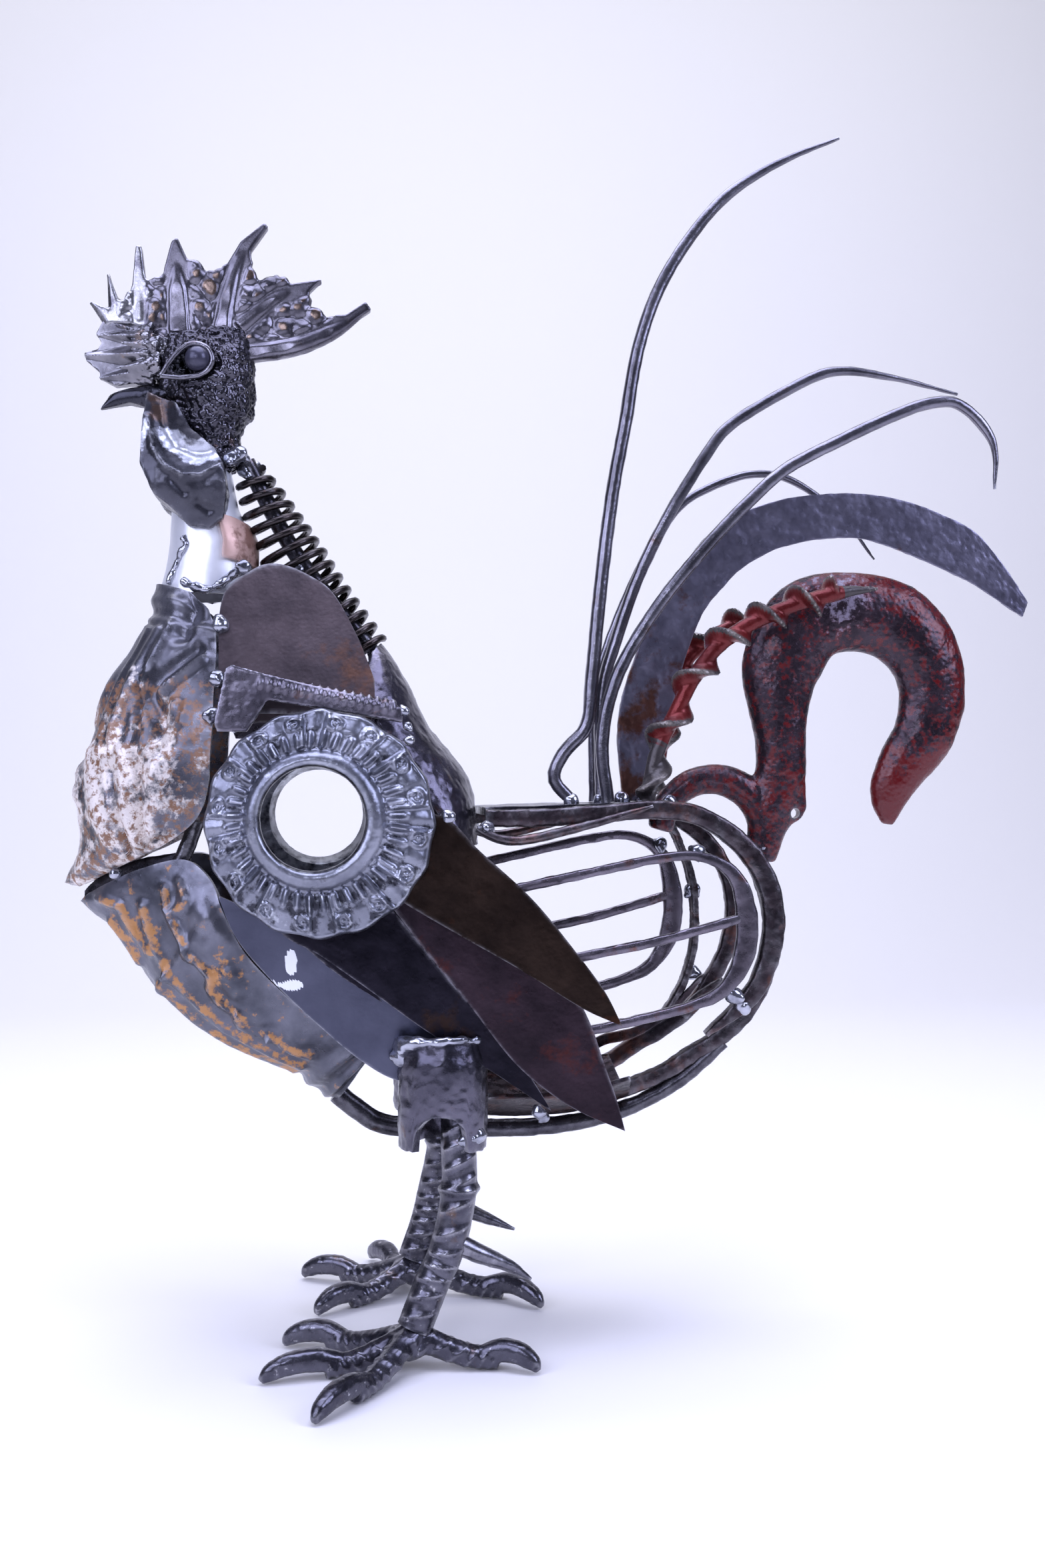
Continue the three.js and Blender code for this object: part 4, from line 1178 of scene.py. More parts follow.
@dataclass
class Shell:
    """A bent or cast shell with a ridge on the middle plane.

    Rows are ridge x, ridge z, rim x, rim z and half width.
    """

    rows: tuple[Row, ...]
    wall: float
    columns: int = 108
    steps: int = 100

    def __post_init__(self) -> None:
        """Lay the ridge and the far rim through the rows."""
        self._ridge = Route([(r[0], 0, r[1]) for r in self.rows])
        self._rim = Route([(r[2], r[4], r[3]) for r in self.rows])

    def skin(self, s: float, t: float) -> Vector:
        """The plain surface.

        Args:
            s: from the near rim at -1 over the ridge to the far rim at 1.
            t: along the rows from 0 to 1.

        Returns:
            The place.
        """
        a = self._ridge.point(t)
        b = self._rim.point(t)
        out = 1 - math.cos(s * math.pi / 2)
        return Vector((a.x + (b.x - a.x) * out, b.y * math.sin(s * math.pi / 2),
                       a.z + (b.z - a.z) * out))

    def build(self, relief: Relief) -> Solid:
        """The shell with relief on its outer face.

        Args:
            relief: height over the plain surface from s, t and the place.

        Returns:
            The closed mesh.
        """
        bm = bmesh.new()

        def normal(s: float, t: float) -> Vector:
            """The direction out of the plain surface.

            Args:
                s: from rim to rim.
                t: along the rows.

            Returns:
                The unit vector.
            """
            wide = self.skin(min(s + 0.02, 1), t) - self.skin(max(s - 0.02, -1), t)
            long = self.skin(s, min(t + 0.02, 1)) - self.skin(s, max(t - 0.02, 0))
            return wide.cross(long).normalized()

        def place(u: float, v: float) -> Vector:
            """The surface with its relief, u from rim to rim and v along the rows."""
            p = self.skin(2 * u - 1, v)
            return p + normal(2 * u - 1, v) * relief(2 * u - 1, v, p)

        grid(bm, self.columns, self.steps, place)
        face_out(bm)
        bm.normal_update()
        centre = sum((v.co for v in bm.verts), Vector()) / len(bm.verts)
        if sum((v.co - centre).dot(v.normal) for v in bm.verts) < 0:
            bmesh.ops.reverse_faces(bm, faces=bm.faces[:])
            bm.normal_update()
        outward = {v.co.to_tuple(4): v.normal.copy() for v in bm.verts}
        thicken(bm, lambda p: -self.wall * outward[p.to_tuple(4)])
        return bm


@dataclass
class Breast:
    """Two ornate iron castings: the upper one toe down, the lower one toe forward."""

    upper_rows: tuple[Row, ...] = (
        (-210, 386, -190, 380, 25), (-211, 372, -178, 364, 37), (-214, 362, -176, 353, 44),
        (-221, 349, -176, 340, 50), (-232, 334, -176.5, 327, 54), (-238, 317, -177, 311, 57),
        (-243, 303, -178, 297, 58), (-248, 286, -179, 283, 57), (-249, 268, -184, 268, 54),
        (-248, 256, -198, 256, 46), (-250, 246, -216, 247, 35), (-254, 239, -234, 238, 20),
        (-256, 234, -247, 232, 8),
    )
    lower_rows: tuple[Row, ...] = (
        (-248, 224, -243, 229, 8), (-240, 217, -231, 235, 22), (-228, 208, -212, 243, 36),
        (-219, 194, -190, 247, 46), (-213, 184, -178, 237, 52), (-203, 174, -171, 220, 54),
        (-188, 161, -162, 203, 54), (-173, 152, -148, 187, 52), (-154, 144, -130, 170, 48),
        (-139, 137, -116, 157, 40), (-128, 127, -106, 149, 32), (-118, 121, -102, 145, 24),
    )
    wall: float = 4.0
    flutes: tuple[Stroke, ...] = (
        Stroke(((-204, 360), (-216, 338), (-225, 315), (-229, 294)), 2.3, 2.2),
        Stroke(((-208.5, 360), (-221.5, 338), (-232, 312), (-234, 299)), 2.2, 2.0),
        Stroke(((-199, 361), (-207, 344.5), (-213, 328)), 2.2, 2.0),
        Stroke(((-211, 362), (-227, 340), (-240, 315)), 2.2, 1.8),
        Stroke(((-222, 300), (-221, 285), (-219, 270), (-213, 256)), 3.0, 1.6),
        Stroke(((-239, 300), (-238, 285), (-236, 270), (-229, 256)), 3.2, 1.6),
    )
    leaves: tuple[Stroke, ...] = (
        Stroke(((-184.5, 375), (-189.5, 368), (-194, 359)), 5.0, -3.2),
        Stroke(((-186, 350.5), (-196, 342.5), (-206.5, 334)), 4.0, -2.8),
        Stroke(((-182, 345), (-192.5, 336.5), (-203, 328.5)), 2.0, 2.4),
        Stroke(((-207.5, 326), (-202, 316), (-201, 306)), 5.0, -3.0),
        Stroke(((-195, 322), (-195.5, 314), (-201, 304.5), (-208, 299)), 1.9, 2.8),
        Stroke(((-203.5, 292), (-203.5, 282.5), (-203.5, 274)), 5.5, 3.4),
        Stroke(((-206, 267.5), (-206, 262.5)), 4.6, 3.0),
        Stroke(((-214, 332.5), (-214.5, 311.5), (-216, 299), (-213, 289.5), (-213, 279),
                (-211.5, 271), (-212, 264), (-208.5, 253.5)), 1.4, -2.2),
        Stroke(((-229, 302), (-229, 292), (-227.5, 280), (-225, 268), (-220.5, 255.5),
                (-217, 246)), 1.4, -2.0),
        Stroke(((-248, 291.5), (-247, 289.5)), 4.4, 1.8),
        Stroke(((-249, 280.5), (-248, 278.5)), 4.4, 1.8),
    )
    scrolls: tuple[Stroke, ...] = (
        Stroke(((-235.5, 227), (-224.5, 224), (-217, 212), (-209, 201)), 2.2, 2.4),
        Stroke(((-212, 224.5), (-209, 212.5), (-204.5, 201.5), (-199, 191.5)), 2.3, 2.4),
        Stroke(((-230.5, 215.5), (-222, 204), (-216, 194.5)), 2.0, 2.0),
        Stroke(((-200.5, 233), (-199.5, 223), (-194.5, 213.5), (-188, 200)), 2.0, 2.6),
        Stroke(((-193.5, 237), (-190, 227.5), (-196, 222)), 1.8, 1.8),
        Stroke(((-185.5, 199.5), (-177.5, 190.5), (-179, 185.5), (-174.5, 178.5), (-166.5, 173),
                (-164, 166)), 2.0, 2.6),
        Stroke(((-164.5, 172.5), (-160, 164), (-150, 161)), 2.0, 2.4),
        Stroke(((-150, 161.5), (-142, 155), (-131, 149.5)), 2.0, 2.4),
        Stroke(((-199.5, 191), (-188.5, 179.5), (-172, 163.5), (-149.5, 150.5), (-135, 143)),
               2.2, 2.2),
        Stroke(((-205, 184), (-192, 169.5), (-169.5, 153.5), (-138.5, 139.5)), 2.2, 2.0),
    )
    swells: tuple[Stroke, ...] = (
        Stroke(((-182, 222), (-174.5, 213.5), (-180, 205)), 6.5, 2.4),
        Stroke(((-170, 190), (-166, 184)), 5.5, 2.2),
        Stroke(((-158, 171), (-154, 168)), 4.6, 2.0),
        Stroke(((-140, 160), (-136, 157)), 4.6, 2.0),
    )
    upper_moulds: tuple[Triple, ...] = ((2.4, 0.05, 0.022), (2.0, 0.125, 0.02))
    lower_moulds: tuple[Triple, ...] = ((1.6, 0.42, 0.02), (2.4, 0.87, 0.022), (2.2, 0.95, 0.02))
    ochre_spots: tuple[Spot, ...] = ((-170, 196, 11, 11), (-219, 214, 12, 12))
    stay_radius: float = 4.0
    stay: Path = ((-186, -38, 266), (-191, -37, 252), (-199, -36, 236))
    strip_top: Line = (
        (-246, 229.5), (-240, 235), (-228, 241.5), (-216, 246.5), (-206, 248.5), (-190, 251),
    )
    strip_foot: Line = (
        (-246, 226), (-240, 228), (-228, 232), (-216, 236), (-206, 239), (-190, 242),
    )
    strip_depths: Sizes = (-1, -16, -28.5, -37)
    strip_thick: float = 3.0
    strip_edge: float = 0.5

    def build(self) -> None:
        """Make both castings and the stay between them."""
        upper = Shell(self.upper_rows, self.wall).build(self._upper_relief)
        forge(upper, "breast_upper", Finish.BREAST_UPPER, stain=self._paint, second=self._rust)
        lower = Shell(self.lower_rows, self.wall).build(self._lower_relief)
        forge(lower, "breast_lower", Finish.BREAST_LOWER, stain=self._ochre)
        self._stay()

    def _stay(self) -> None:
        """A short bar on a flat strip that lies in the mouth of the lower casting."""
        bm = bmesh.new()
        grid(bm, 40, 6, between(self.strip_top, self.strip_foot, 0.0))
        start, end = self.strip_top[0][0], self.strip_top[-1][0]
        for v in bm.verts:
            v.co.y = ramp(self.strip_depths, (v.co.x - start) / (end - start))
        plated(bm, self.strip_thick, self.strip_edge)
        rod(bm, self.stay, [self.stay_radius] * 2, steps=16)
        roughen(bm, (0.3, 4.0))
        forge(bm, "breast_stay", Finish.DARK_STEEL)

    def _upper_relief(self, s: float, t: float, p: Vector) -> float:
        """Leaf flutes from the neck to the toe, with two mouldings at the top.

        Args:
            s: from rim to rim.
            t: along the rows.
            p: the place.

        Returns:
            Height over the plain casting.
        """
        mould = sum(height * bump(t, at, width) for height, at, width in self.upper_moulds)
        rim = smooth(1.0, 0.9, abs(s))
        return 1.7 * carved(self.flutes + self.leaves, p) * rim + mould + 0.35 * cloud(p, 8.0) - 0.3

    def _lower_relief(self, s: float, t: float, p: Vector) -> float:
        """Scrolled ridges and mouldings.

        Args:
            s: from rim to rim.
            t: along the rows.
            p: the place.

        Returns:
            Height over the plain casting.
        """
        mould = sum(height * bump(t, at, width) for height, at, width in self.lower_moulds)
        rim = smooth(1.0, 0.92, abs(s))
        return 1.4 * carved(self.scrolls + self.swells, p) * rim + mould + 0.35 * cloud(p, 7.0) - 0.3

    def _rust(self, p: Vector) -> float:
        """Rust of the upper casting: below its bare top, most on the flutes and toward the toe.

        Args:
            p: the place.

        Returns:
            What the rust gains or loses there.
        """
        ridge = max(stroke.reach(p) for stroke in self.flutes)
        low = smooth(348, 330, p.z)
        mid = bump(p.z, 318, 24)
        return low * (0.05 * ridge + 0.05 * mid + 0.04 * smooth(285, 245, p.z)) - 0.22 * (1 - low)

    def _paint(self, p: Vector) -> float:
        """White paint of the upper casting: on its lower half, worn off toward the rim.

        Args:
            p: the place.

        Returns:
            What the paint gains or loses there.
        """
        low = smooth(338, 300, p.z)
        streak = 0.10 * max(stroke.reach(p) for stroke in self.flutes) * smooth(352, 335, p.z)
        return 0.07 * low + streak - 0.14 * (1 - low) - 0.12 * smooth(-200, -186, p.x)

    def _ochre(self, p: Vector) -> float:
        """Ochre rust of the lower casting, along its ridges and in two spots.

        Args:
            p: the place.

        Returns:
            What the rust gains or loses there.
        """
        ridge = max(stroke.reach(p) for stroke in self.scrolls)
        patch = sum(bump(oval(p, spot), 0, 1) for spot in self.ochre_spots)
        return 0.19 * ridge + 0.13 * patch - 0.09


@dataclass
class ShoulderRing:
    """A cast ring with a raised collar, a wreath of gadroons and scrolls, and a scalloped rim."""

    centre: Pair = (-125, 265)
    back: float = 66.5
    radius: float = 54.5
    hole: float = 24.5
    hole_shift: Pair = (-3.5, 2.5)
    lobes: int = 16
    tongues: int = 40
    pairs: int = 8
    pair_turn: float = 70.0
    steps: int = 420
    collar: Line = (
        (34.6, 9.5), (33.8, 9.8), (33.0, 10.5), (32.2, 11.3), (31.2, 12.1), (30.4, 12.6),
        (29.5, 13.0), (28.4, 13.4), (27.0, 13.3), (25.9, 12.6), (24.9, 11.2),
    )

    def build(self) -> None:
        """Make the near ring and its mirror image."""
        bm = bmesh.new()
        profile = [(self.hole, 0.0), (self.radius - 1.2, 0.0), (self.radius - 0.3, 0.8),
                   (self.radius, 2.4), (self.radius - 0.4, 4.0)]
        profile += [(self.radius - 1 - 0.6 * k, 5.4 + 4.4 * math.sin(k / 31 * 0.62 * math.pi))
                    for k in range(32)]
        profile += [*self.collar, (self.hole, 9.0)]
        verts = [bm.verts.new((r, -d, 0)) for r, d in profile]
        edges = [bm.edges.new(pair) for pair in zip(verts, verts[1:] + verts[:1])]
        bmesh.ops.spin(bm, geom=verts + edges, cent=(0, 0, 0), axis=(0, 1, 0), dvec=(0, 0, 0),
                       angle=TAU, steps=self.steps, use_merge=True, use_duplicate=False)
        seal(bm, 0.01)
        for v in bm.verts:
            self._shape(v)
        calm(bm, 1)
        roughen(bm, (0.14, 3.0))
        # The stain mark is painted shade in the bore and on the back, with darker hollows and a
        # darker lower half.
        forge_pair(bm, "shoulder_ring", Finish.RING, crease=50, stain=self._painted_shade_and_darkening)

    def _shape(self, v: bmesh.types.BMVert) -> None:
        """Raise the ornament at a vertex and put it in place.

        Args:
            v: a vertex of the plain ring round the origin.
        """
        reach, turn = math.hypot(v.co.x, v.co.z), math.atan2(v.co.z, v.co.x)
        wave = math.cos(self.lobes * turn)
        if v.co.y < -4 and reach > 33:
            v.co.y -= self._ornament(reach, turn)
        scale = 1 + 0.013 * wave * smooth(47, 53, reach)
        inside = (self.radius - reach) / (self.radius - self.hole)
        v.co.x = v.co.x * scale + self.hole_shift[0] * inside + self.centre[0]
        v.co.z = v.co.z * scale + self.hole_shift[1] * inside + self.centre[1]
        v.co.y -= self.back

    def _painted_shade_and_darkening(self, p: Vector) -> float:
        """Painted shade in the bore and on the back; darker in the hollows of the wreath and toward
        the bottom.

        Args:
            p: a place on the near ring.

        Returns:
            What the painted shade and the darkening gain or lose there.
        """
        x = wide = p.x - self.centre[0]
        z = high = p.z - self.centre[1]
        for _ in range(3):
            inside = (self.radius - math.hypot(x, z)) / (self.radius - self.hole)
            x, z = wide - self.hole_shift[0] * inside, high - self.hole_shift[1] * inside
        reach = math.hypot(x, z)
        hollow = smooth(0.2, -0.8, self._ornament(reach, math.atan2(z, x))) if reach > 34 else 0
        # shade: painted shade, near black, in the bore and on the back face.
        shade = max(smooth(25.8, 24.8, reach), smooth(1.6, 0.6, -p.y - self.back))
        return 0.9 * shade + 0.16 * hollow + 0.10 * smooth(15, -45, z) - 0.1

    def _ornament(self, reach: float, turn: float) -> float:
        """Height of the wreath.

        Args:
            reach: distance from the ring's middle.
            turn: angle round it.

        Returns:
            Height over the plain ring.
        """
        step = TAU / self.tongues
        phase = abs((turn + step / 2) % step - step / 2)
        inner = smooth(33.8, 35.2, reach) * smooth(44.2, 41.4, reach)
        flute = 2.1 * bump((step / 2 - phase) * reach, 0, 1.15)
        period = TAU / self.pairs
        lead = abs((turn - math.radians(self.pair_turn) + period / 2) % period - period / 2)
        across = (lead - math.radians(10.9)) * reach
        coil = math.hypot(reach - 48.2, across)
        gap = 1 - 0.8 * bump(math.hypot(reach - 45.4, across + 1.2), 0, 1.9)
        scroll = 2.6 * bump(coil, 3.2, 0.95) * gap + 1.9 * bump(coil, 0.0, 1.2)
        stem = 2.3 * bump((lead - math.radians(15.2)) * reach, 0, 1.0) * smooth(34, 36, reach)
        lobe = 0.9 * bump((period / 2 - lead) * reach, 0, 2.6) + 1.0 * bump(lead * reach, 0, 4.2)
        lobe *= smooth(42.4, 46.0, reach)
        bead = 0.9 * bump(reach, 53.2, 0.8)
        outer = smooth(53.9, 52.4, reach)
        return flute * inner + (scroll + stem + lobe) * outer + bead - 0.9


@dataclass
class Wing:
    """Three sheet feathers a side, overlapping like shingles, and the flank plate behind them."""

    thick: float = 3.0
    first: float = -66.0
    gap: float = 3.5
    edge: float = 0.55
    feathers: tuple[tuple[Line, Line, Finish], ...] = (
        (((-100, 272), (-66, 268), (-49, 252), (-23, 228), (0, 200), (13, 182), (21, 166)),
         ((-104, 240), (-95, 234), (-87, 228), (-55, 209), (-29, 194), (3, 174), (21, 166)),
         Finish.FEATHER_OLIVE),
        (((-70, 243), (-38, 214), (-4, 186), (1, 177), (7, 164), (12, 149), (19, 129), (23, 114)),
         ((-102, 238), (-95, 230), (-89, 222), (-72, 200), (-55, 179), (-29, 146), (-3, 126),
          (23, 114)), Finish.FEATHER_RED),
        (((-108, 242), (-89, 221), (-72, 200), (-55, 179), (-35, 156), (-22, 139), (-13, 124)),
         ((-142, 232), (-145, 214), (-125, 201), (-100, 183), (-74, 164), (-41, 143),
          (-13, 124)), Finish.FEATHER_NAVY),
    )
    spine_top: Line = ((-139, 215), (-118, 208.7), (-106, 194), (-95.6, 178))
    spine_foot: Line = ((-141, 213), (-128, 201), (-117.7, 192.5), (-95.6, 178))
    spine_y: float = -57.0
    flank_top: Line = (
        (-174, 230), (-160, 224), (-145, 218), (-100, 186), (-54, 154), (-46, 134),
    )
    flank_foot: Line = (
        (-174, 229), (-166, 210), (-151, 191), (-126, 166), (-105, 148), (-87, 138), (-46, 134),
    )
    flank_y: float = -55.0
    blotches: tuple[Spot, ...] = (
        (-139.4, 197.5, 3.2, 6.6), (-139.0, 186.2, 5.6, 2.9), (-144.5, 186.6, 2.6, 1.2),
        (-148.5, 188.4, 1.2, 0.8), (-145.5, 183.6, 1.0, 0.7),
    )

    def build(self) -> None:
        """Make every sheet of both wings."""
        for k, (top, foot, finish) in enumerate(self.feathers):
            bm = bmesh.new()
            y = self.first + self.gap * k
            grid(bm, 90, 36, between(top, foot, y))
            self._camber(bm, y)
            if finish is Finish.FEATHER_NAVY:
                grid(bm, 60, 16, between(self.spine_top, self.spine_foot, self.spine_y))
            plated(bm, self.thick, self.edge)
            forge_pair(bm, f"wing_feather_{k + 1}", finish,
                       stain=lambda p: 0.10 * smooth(200, 150, p.z) - 0.05)
        bm = bmesh.new()
        grid(bm, 120, 48, between(self.flank_top, self.flank_foot, self.flank_y))
        for v in bm.verts:
            v.co.y += 0.08 * (230 - v.co.z) + 0.4 * cloud(v.co, 40.0)
        plated(bm, self.thick, self.edge)
        far = mirrored(bm)
        forge(bm, "flank_plate_near", Finish.FLANK, second=self._blotch)
        forge(far, "flank_plate_far", Finish.FLANK, second=lambda p: -0.6)

    @staticmethod
    def _camber(bm: Solid, y: float) -> None:
        """Hammer a feather a little out of flat."""
        for v in bm.verts:
            v.co.y = y + 0.35 * cloud(v.co, 30.0) + 0.08 * cloud(v.co, 5.0)

    def _blotch(self, p: Vector) -> float:
        """Drops of spilt white on the near flank plate."""
        near = max(1 - oval(p, spot) for spot in self.blotches)
        return 1.2 * smooth(-0.15, 0.15, near) - 0.6


@dataclass
class Hackle:
    """Hackle plates that lean in toward the neck, with a toothed bar over the foot of each."""

    near: float = -57.0
    lean: float = 0.38
    foot: float = 318.0
    thick: float = 3.0
    edge: float = 0.6
    top: Line = (
        (-174, 345), (-175, 367), (-172, 380), (-162, 389), (-152, 394), (-142, 393), (-131, 388),
        (-121, 381), (-108, 358), (-99, 335),
    )
    bottom: Line = (
        (-174, 343), (-172, 318), (-158, 318), (-146, 318), (-134, 318), (-122, 318), (-112, 318),
        (-104, 318), (-100, 318), (-99, 333),
    )
    teeth: int = 17
    teeth_span: Pair = (-153, -90)
    teeth_top: float = 334.2
    teeth_fall: float = 0.187
    tooth: Path = ((-0.9, 1.5, -4.6), (-0.4, 0.8, -1.6), (0, 3.2, 1.2), (0, 6.2, 0.6))
    tooth_radii: Sizes = (1.2, 1.5, 1.5, 1.3)
    bar_y: float = -65.8
    bar_inset: float = 0.8
    bar_thick: float = 6.6
    bar: Line = (
        (-170, 339), (-167, 341), (-157, 338), (-90, 322), (-86, 320.5), (-86, 313.5), (-100, 316),
        (-150, 324), (-160, 309), (-174, 309), (-175.5, 313),
    )

    def build(self) -> None:
        """Make the plates and the bars."""
        bm = bmesh.new()
        grid(bm, 80, 50, between(self.top, self.bottom, self.near))
        for v in bm.verts:
            v.co.y += self.lean * (v.co.z - self.foot) + 0.5 * cloud(v.co, 35.0)
        plated(bm, self.thick, self.edge)
        forge_pair(bm, "hackle_plate", Finish.HACKLE,
                   stain=lambda p: 0.14 * smooth(-150, -105, p.x) * smooth(375, 330, p.z) - 0.06)
        self._bar()

    def _bar(self) -> None:
        """A spike of flat iron with a row of teeth along its upper edge."""
        bm = bmesh.new()
        slab(bm, self.bar, self.bar_y + self.bar_inset, self.bar_thick - self.bar_inset)
        first, last = self.teeth_span
        for k in range(self.teeth):
            x = first + (last - first) * k / (self.teeth - 1)
            z = self.teeth_top - self.teeth_fall * (x - first)
            line = [(x + along, self.bar_y + deep, z + up) for along, deep, up in self.tooth]
            rod(bm, line, self.tooth_radii, steps=10, sides=8)
        bm = fused(bm, 0.75)
        roughen(bm, (0.2, 5.0))
        forge_pair(bm, "toothed_bar", Finish.TEETH)


@dataclass
class Back:
    """The hammered saddle behind the neck, the plate along the back and the saddle feathers."""

    saddle: tuple[Row, ...] = (
        (-45, 253, -56, 254, 46), (-46, 270, -67, 268, 47), (-49, 286, -76, 281, 46),
        (-57, 298, -86, 297, 44), (-70, 314, -94, 309, 41), (-80, 335, -100, 326, 36),
        (-89, 350, -101, 340, 27), (-95, 357, -102, 349, 17),
    )
    saddle_wall: float = 3.2
    plate_size: Triple = (94, 79, 4)
    plate_at: Triple = (3, 0, 271.7)
    plate_rise: float = 0.028
    feather_y: float = -51.0
    feather_radii: Sizes = (2.2, 2.5, 2.4, 2, 0.8)
    feather: Line = (
        (-49, 262), (-41, 258), (-31, 256), (-21, 257), (-4, 261), (12, 265), (29, 270), (39, 273),
    )

    def build(self) -> None:
        """Make the pieces of the back."""
        bm = Shell(self.saddle, self.saddle_wall, 70, 60).build(
            lambda s, t, p: 0.7 * cloud(p, 12.0) + 0.3 * cloud(p, 4.0) - 0.3)
        forge(bm, "back_saddle", Finish.SADDLE)
        plate = bmesh.new()
        bmesh.ops.create_cube(plate, size=1)
        bmesh.ops.scale(plate, vec=self.plate_size, verts=plate.verts[:])
        bmesh.ops.subdivide_edges(plate, edges=plate.edges[:], cuts=14, use_grid_fill=True)
        for v in plate.verts:
            v.co += Vector(self.plate_at) + self.plate_rise * v.co.x * UP
        soften(plate, 0.6, angle=60)
        roughen(plate, (0.5, 9.0), (0.2, 2.5))
        forge(plate, "back_plate", Finish.DARK_STEEL)
        feather = bmesh.new()
        rod(feather, self.feather, self.feather_radii, self.feather_y, steps=40, sides=12)
        roughen(feather, (0.25, 4.0))
        forge_pair(feather, "saddle_feather", Finish.BAND_IRON)


@dataclass(frozen=True)
class Bit:
    """An auger bit: its path in the plane y, turns of its flange and where its screw starts."""

    line: Line
    y: float
    turns: int
    screw: float


@dataclass
class Tail:
    """Four fork tines, a sickle blade, a cargo hook and two auger bits."""

    tines: tuple[tuple[float, Sizes, Line], ...] = (
        (-5, (3.2, 3.6, 3.6, 3.6, 3.5, 3.3, 2.8, 0.7),
         ((5, 274.5), (-5, 287), (0, 300), (12, 314), (15, 339), (19, 381), (26, 437), (33, 475),
          (39, 510), (49, 541), (65, 569), (87, 595), (116, 614), (148, 628))),
        (2, (3.2, 3.2, 3.2, 3.1, 2.9, 2.4, 0.8),
         ((21, 274.5), (21.5, 332), (29, 360), (42, 396), (58, 428), (78, 460), (88, 473),
          (110, 488), (141, 504), (153, 506), (180, 503), (216, 495))),
        (-15, (3.4, 3.4, 3.4, 3.3, 3.2, 3, 2.6, 0.7),
         ((22, 274.5), (19, 305), (26, 338), (46, 373), (74, 408), (102, 437), (116, 449),
          (142, 463), (178, 480), (196, 486), (209, 486), (224, 474), (230, 462), (230, 441))),
        (24, (2.4, 2.4, 2.3, 2.2, 2, 0.6),
         ((20, 274.5), (21, 333), (29, 362), (46, 402), (60, 426), (72, 439), (97, 451),
          (112, 454), (127, 452), (157, 433), (177, 408))),
    )
    sickle_back: Line = (
        (33, 275), (30, 311), (33, 332), (39, 350), (52, 384), (65, 400), (79, 417), (94, 427),
        (108, 433), (127, 438), (145, 440), (167, 440), (190, 436), (212, 428), (227, 420),
        (242, 403), (256, 383),
    )
    sickle_edge: Line = (
        (46, 275), (54, 308), (59, 325), (68, 356), (77, 377), (88, 390), (97, 399), (112, 408),
        (127, 413), (145, 416), (163, 416), (181, 411), (204, 402), (226, 392), (240, 383),
        (247, 378.5), (253, 375),
    )
    sickle_y: float = 2.0
    sickle_thick: Pair = (1.6, 4.0)
    sickle_bevel: float = 9.0
    hook_y: float = 2.0
    hook: tuple[Sizes, ...] = (
        (109, 243, 6, 6.5), (110.5, 257, 9.5, 8), (113, 272, 14.5, 9), (118, 290, 14, 10),
        (118, 308, 14, 11), (117, 325, 16.5, 11.5), (119, 348, 22, 12), (133, 371, 23, 12),
        (156, 376.5, 21.5, 12), (181, 371, 21.5, 12), (197, 354, 20, 12), (202, 332, 18, 11.5),
        (197, 311, 17, 11), (185, 293, 14, 9), (178, 277, 11, 7), (177, 262, 3.5, 3),
    )
    eye: Pair = (81, 258)
    eye_radius: float = 28.5
    eye_turns: tuple[int, ...] = (-15, 9, 33, 57, 81, 105, 129, 153, 177)
    eye_wide: Pair = (9.5, 7.0)
    eye_deep: Pair = (8.0, 6.5)
    lug: Line = (
        (118, 292), (131.5, 290), (132, 271), (128.5, 265.5), (119, 259), (112, 254),
    )
    lug_half: float = 3.5
    lug_hole: Pair = (125, 268.5)
    lug_bore: float = 2.8
    hook_painted_highlight: Spot = (148, 382, 26, 26)
    core: float = 3.9
    core_taper: float = 3.1
    flange: float = 6.4
    flange_cap: float = 6.0
    near_bit: Bit = Bit((
        (41, 275), (46, 300), (55, 319), (65, 338), (76, 353), (90, 364), (104, 371), (118, 377),
        (132, 381), (145, 384), (163, 386),
    ), -24, 7, 0.88)
    far_bit: Bit = Bit((
        (48, 275), (56, 292), (61, 319), (70, 348), (86, 364), (104, 373), (122, 380),
    ), 30, 5, 0.85)

    def build(self) -> None:
        """Make every piece of the tail."""
        for k, (y, radii, line) in enumerate(self.tines):
            bm = bmesh.new()
            rod(bm, line, radii, y, steps=110, sides=14, corner=0.8)
            roughen(bm, (0.22, 5.0), (0.1, 1.6))
            forge(bm, f"tail_tine_{k + 1}", Finish.TINE_STEEL)
        self._sickle()
        self._hook()
        self._auger("tail_auger_near", self.near_bit)
        self._auger("tail_auger_far", self.far_bit)

    def _sickle(self) -> None:
        """A worn blade, thinner toward its inner edge."""
        bm = bmesh.new()
        grid(bm, 150, 20, between(self.sickle_back, self.sickle_edge, self.sickle_y))
        inner = Route(self.sickle_edge, self.sickle_y)
        samples = [inner.point(k / 60) for k in range(61)]

        def back(p: Vector) -> Vector:
            """The blade's thickness at a place."""
            near = min((p - q).length for q in samples)
            return Vector((0, ramp(self.sickle_thick, smooth(0, self.sickle_bevel, near)), 0))

        thicken(bm, back)
        soften(bm, 0.5)
        roughen(bm, (0.3, 5.0), (0.12, 1.8))
        forge(bm, "tail_sickle", Finish.SICKLE,
              stain=lambda p: 0.16 * smooth(90, 45, p.x) - 0.06)

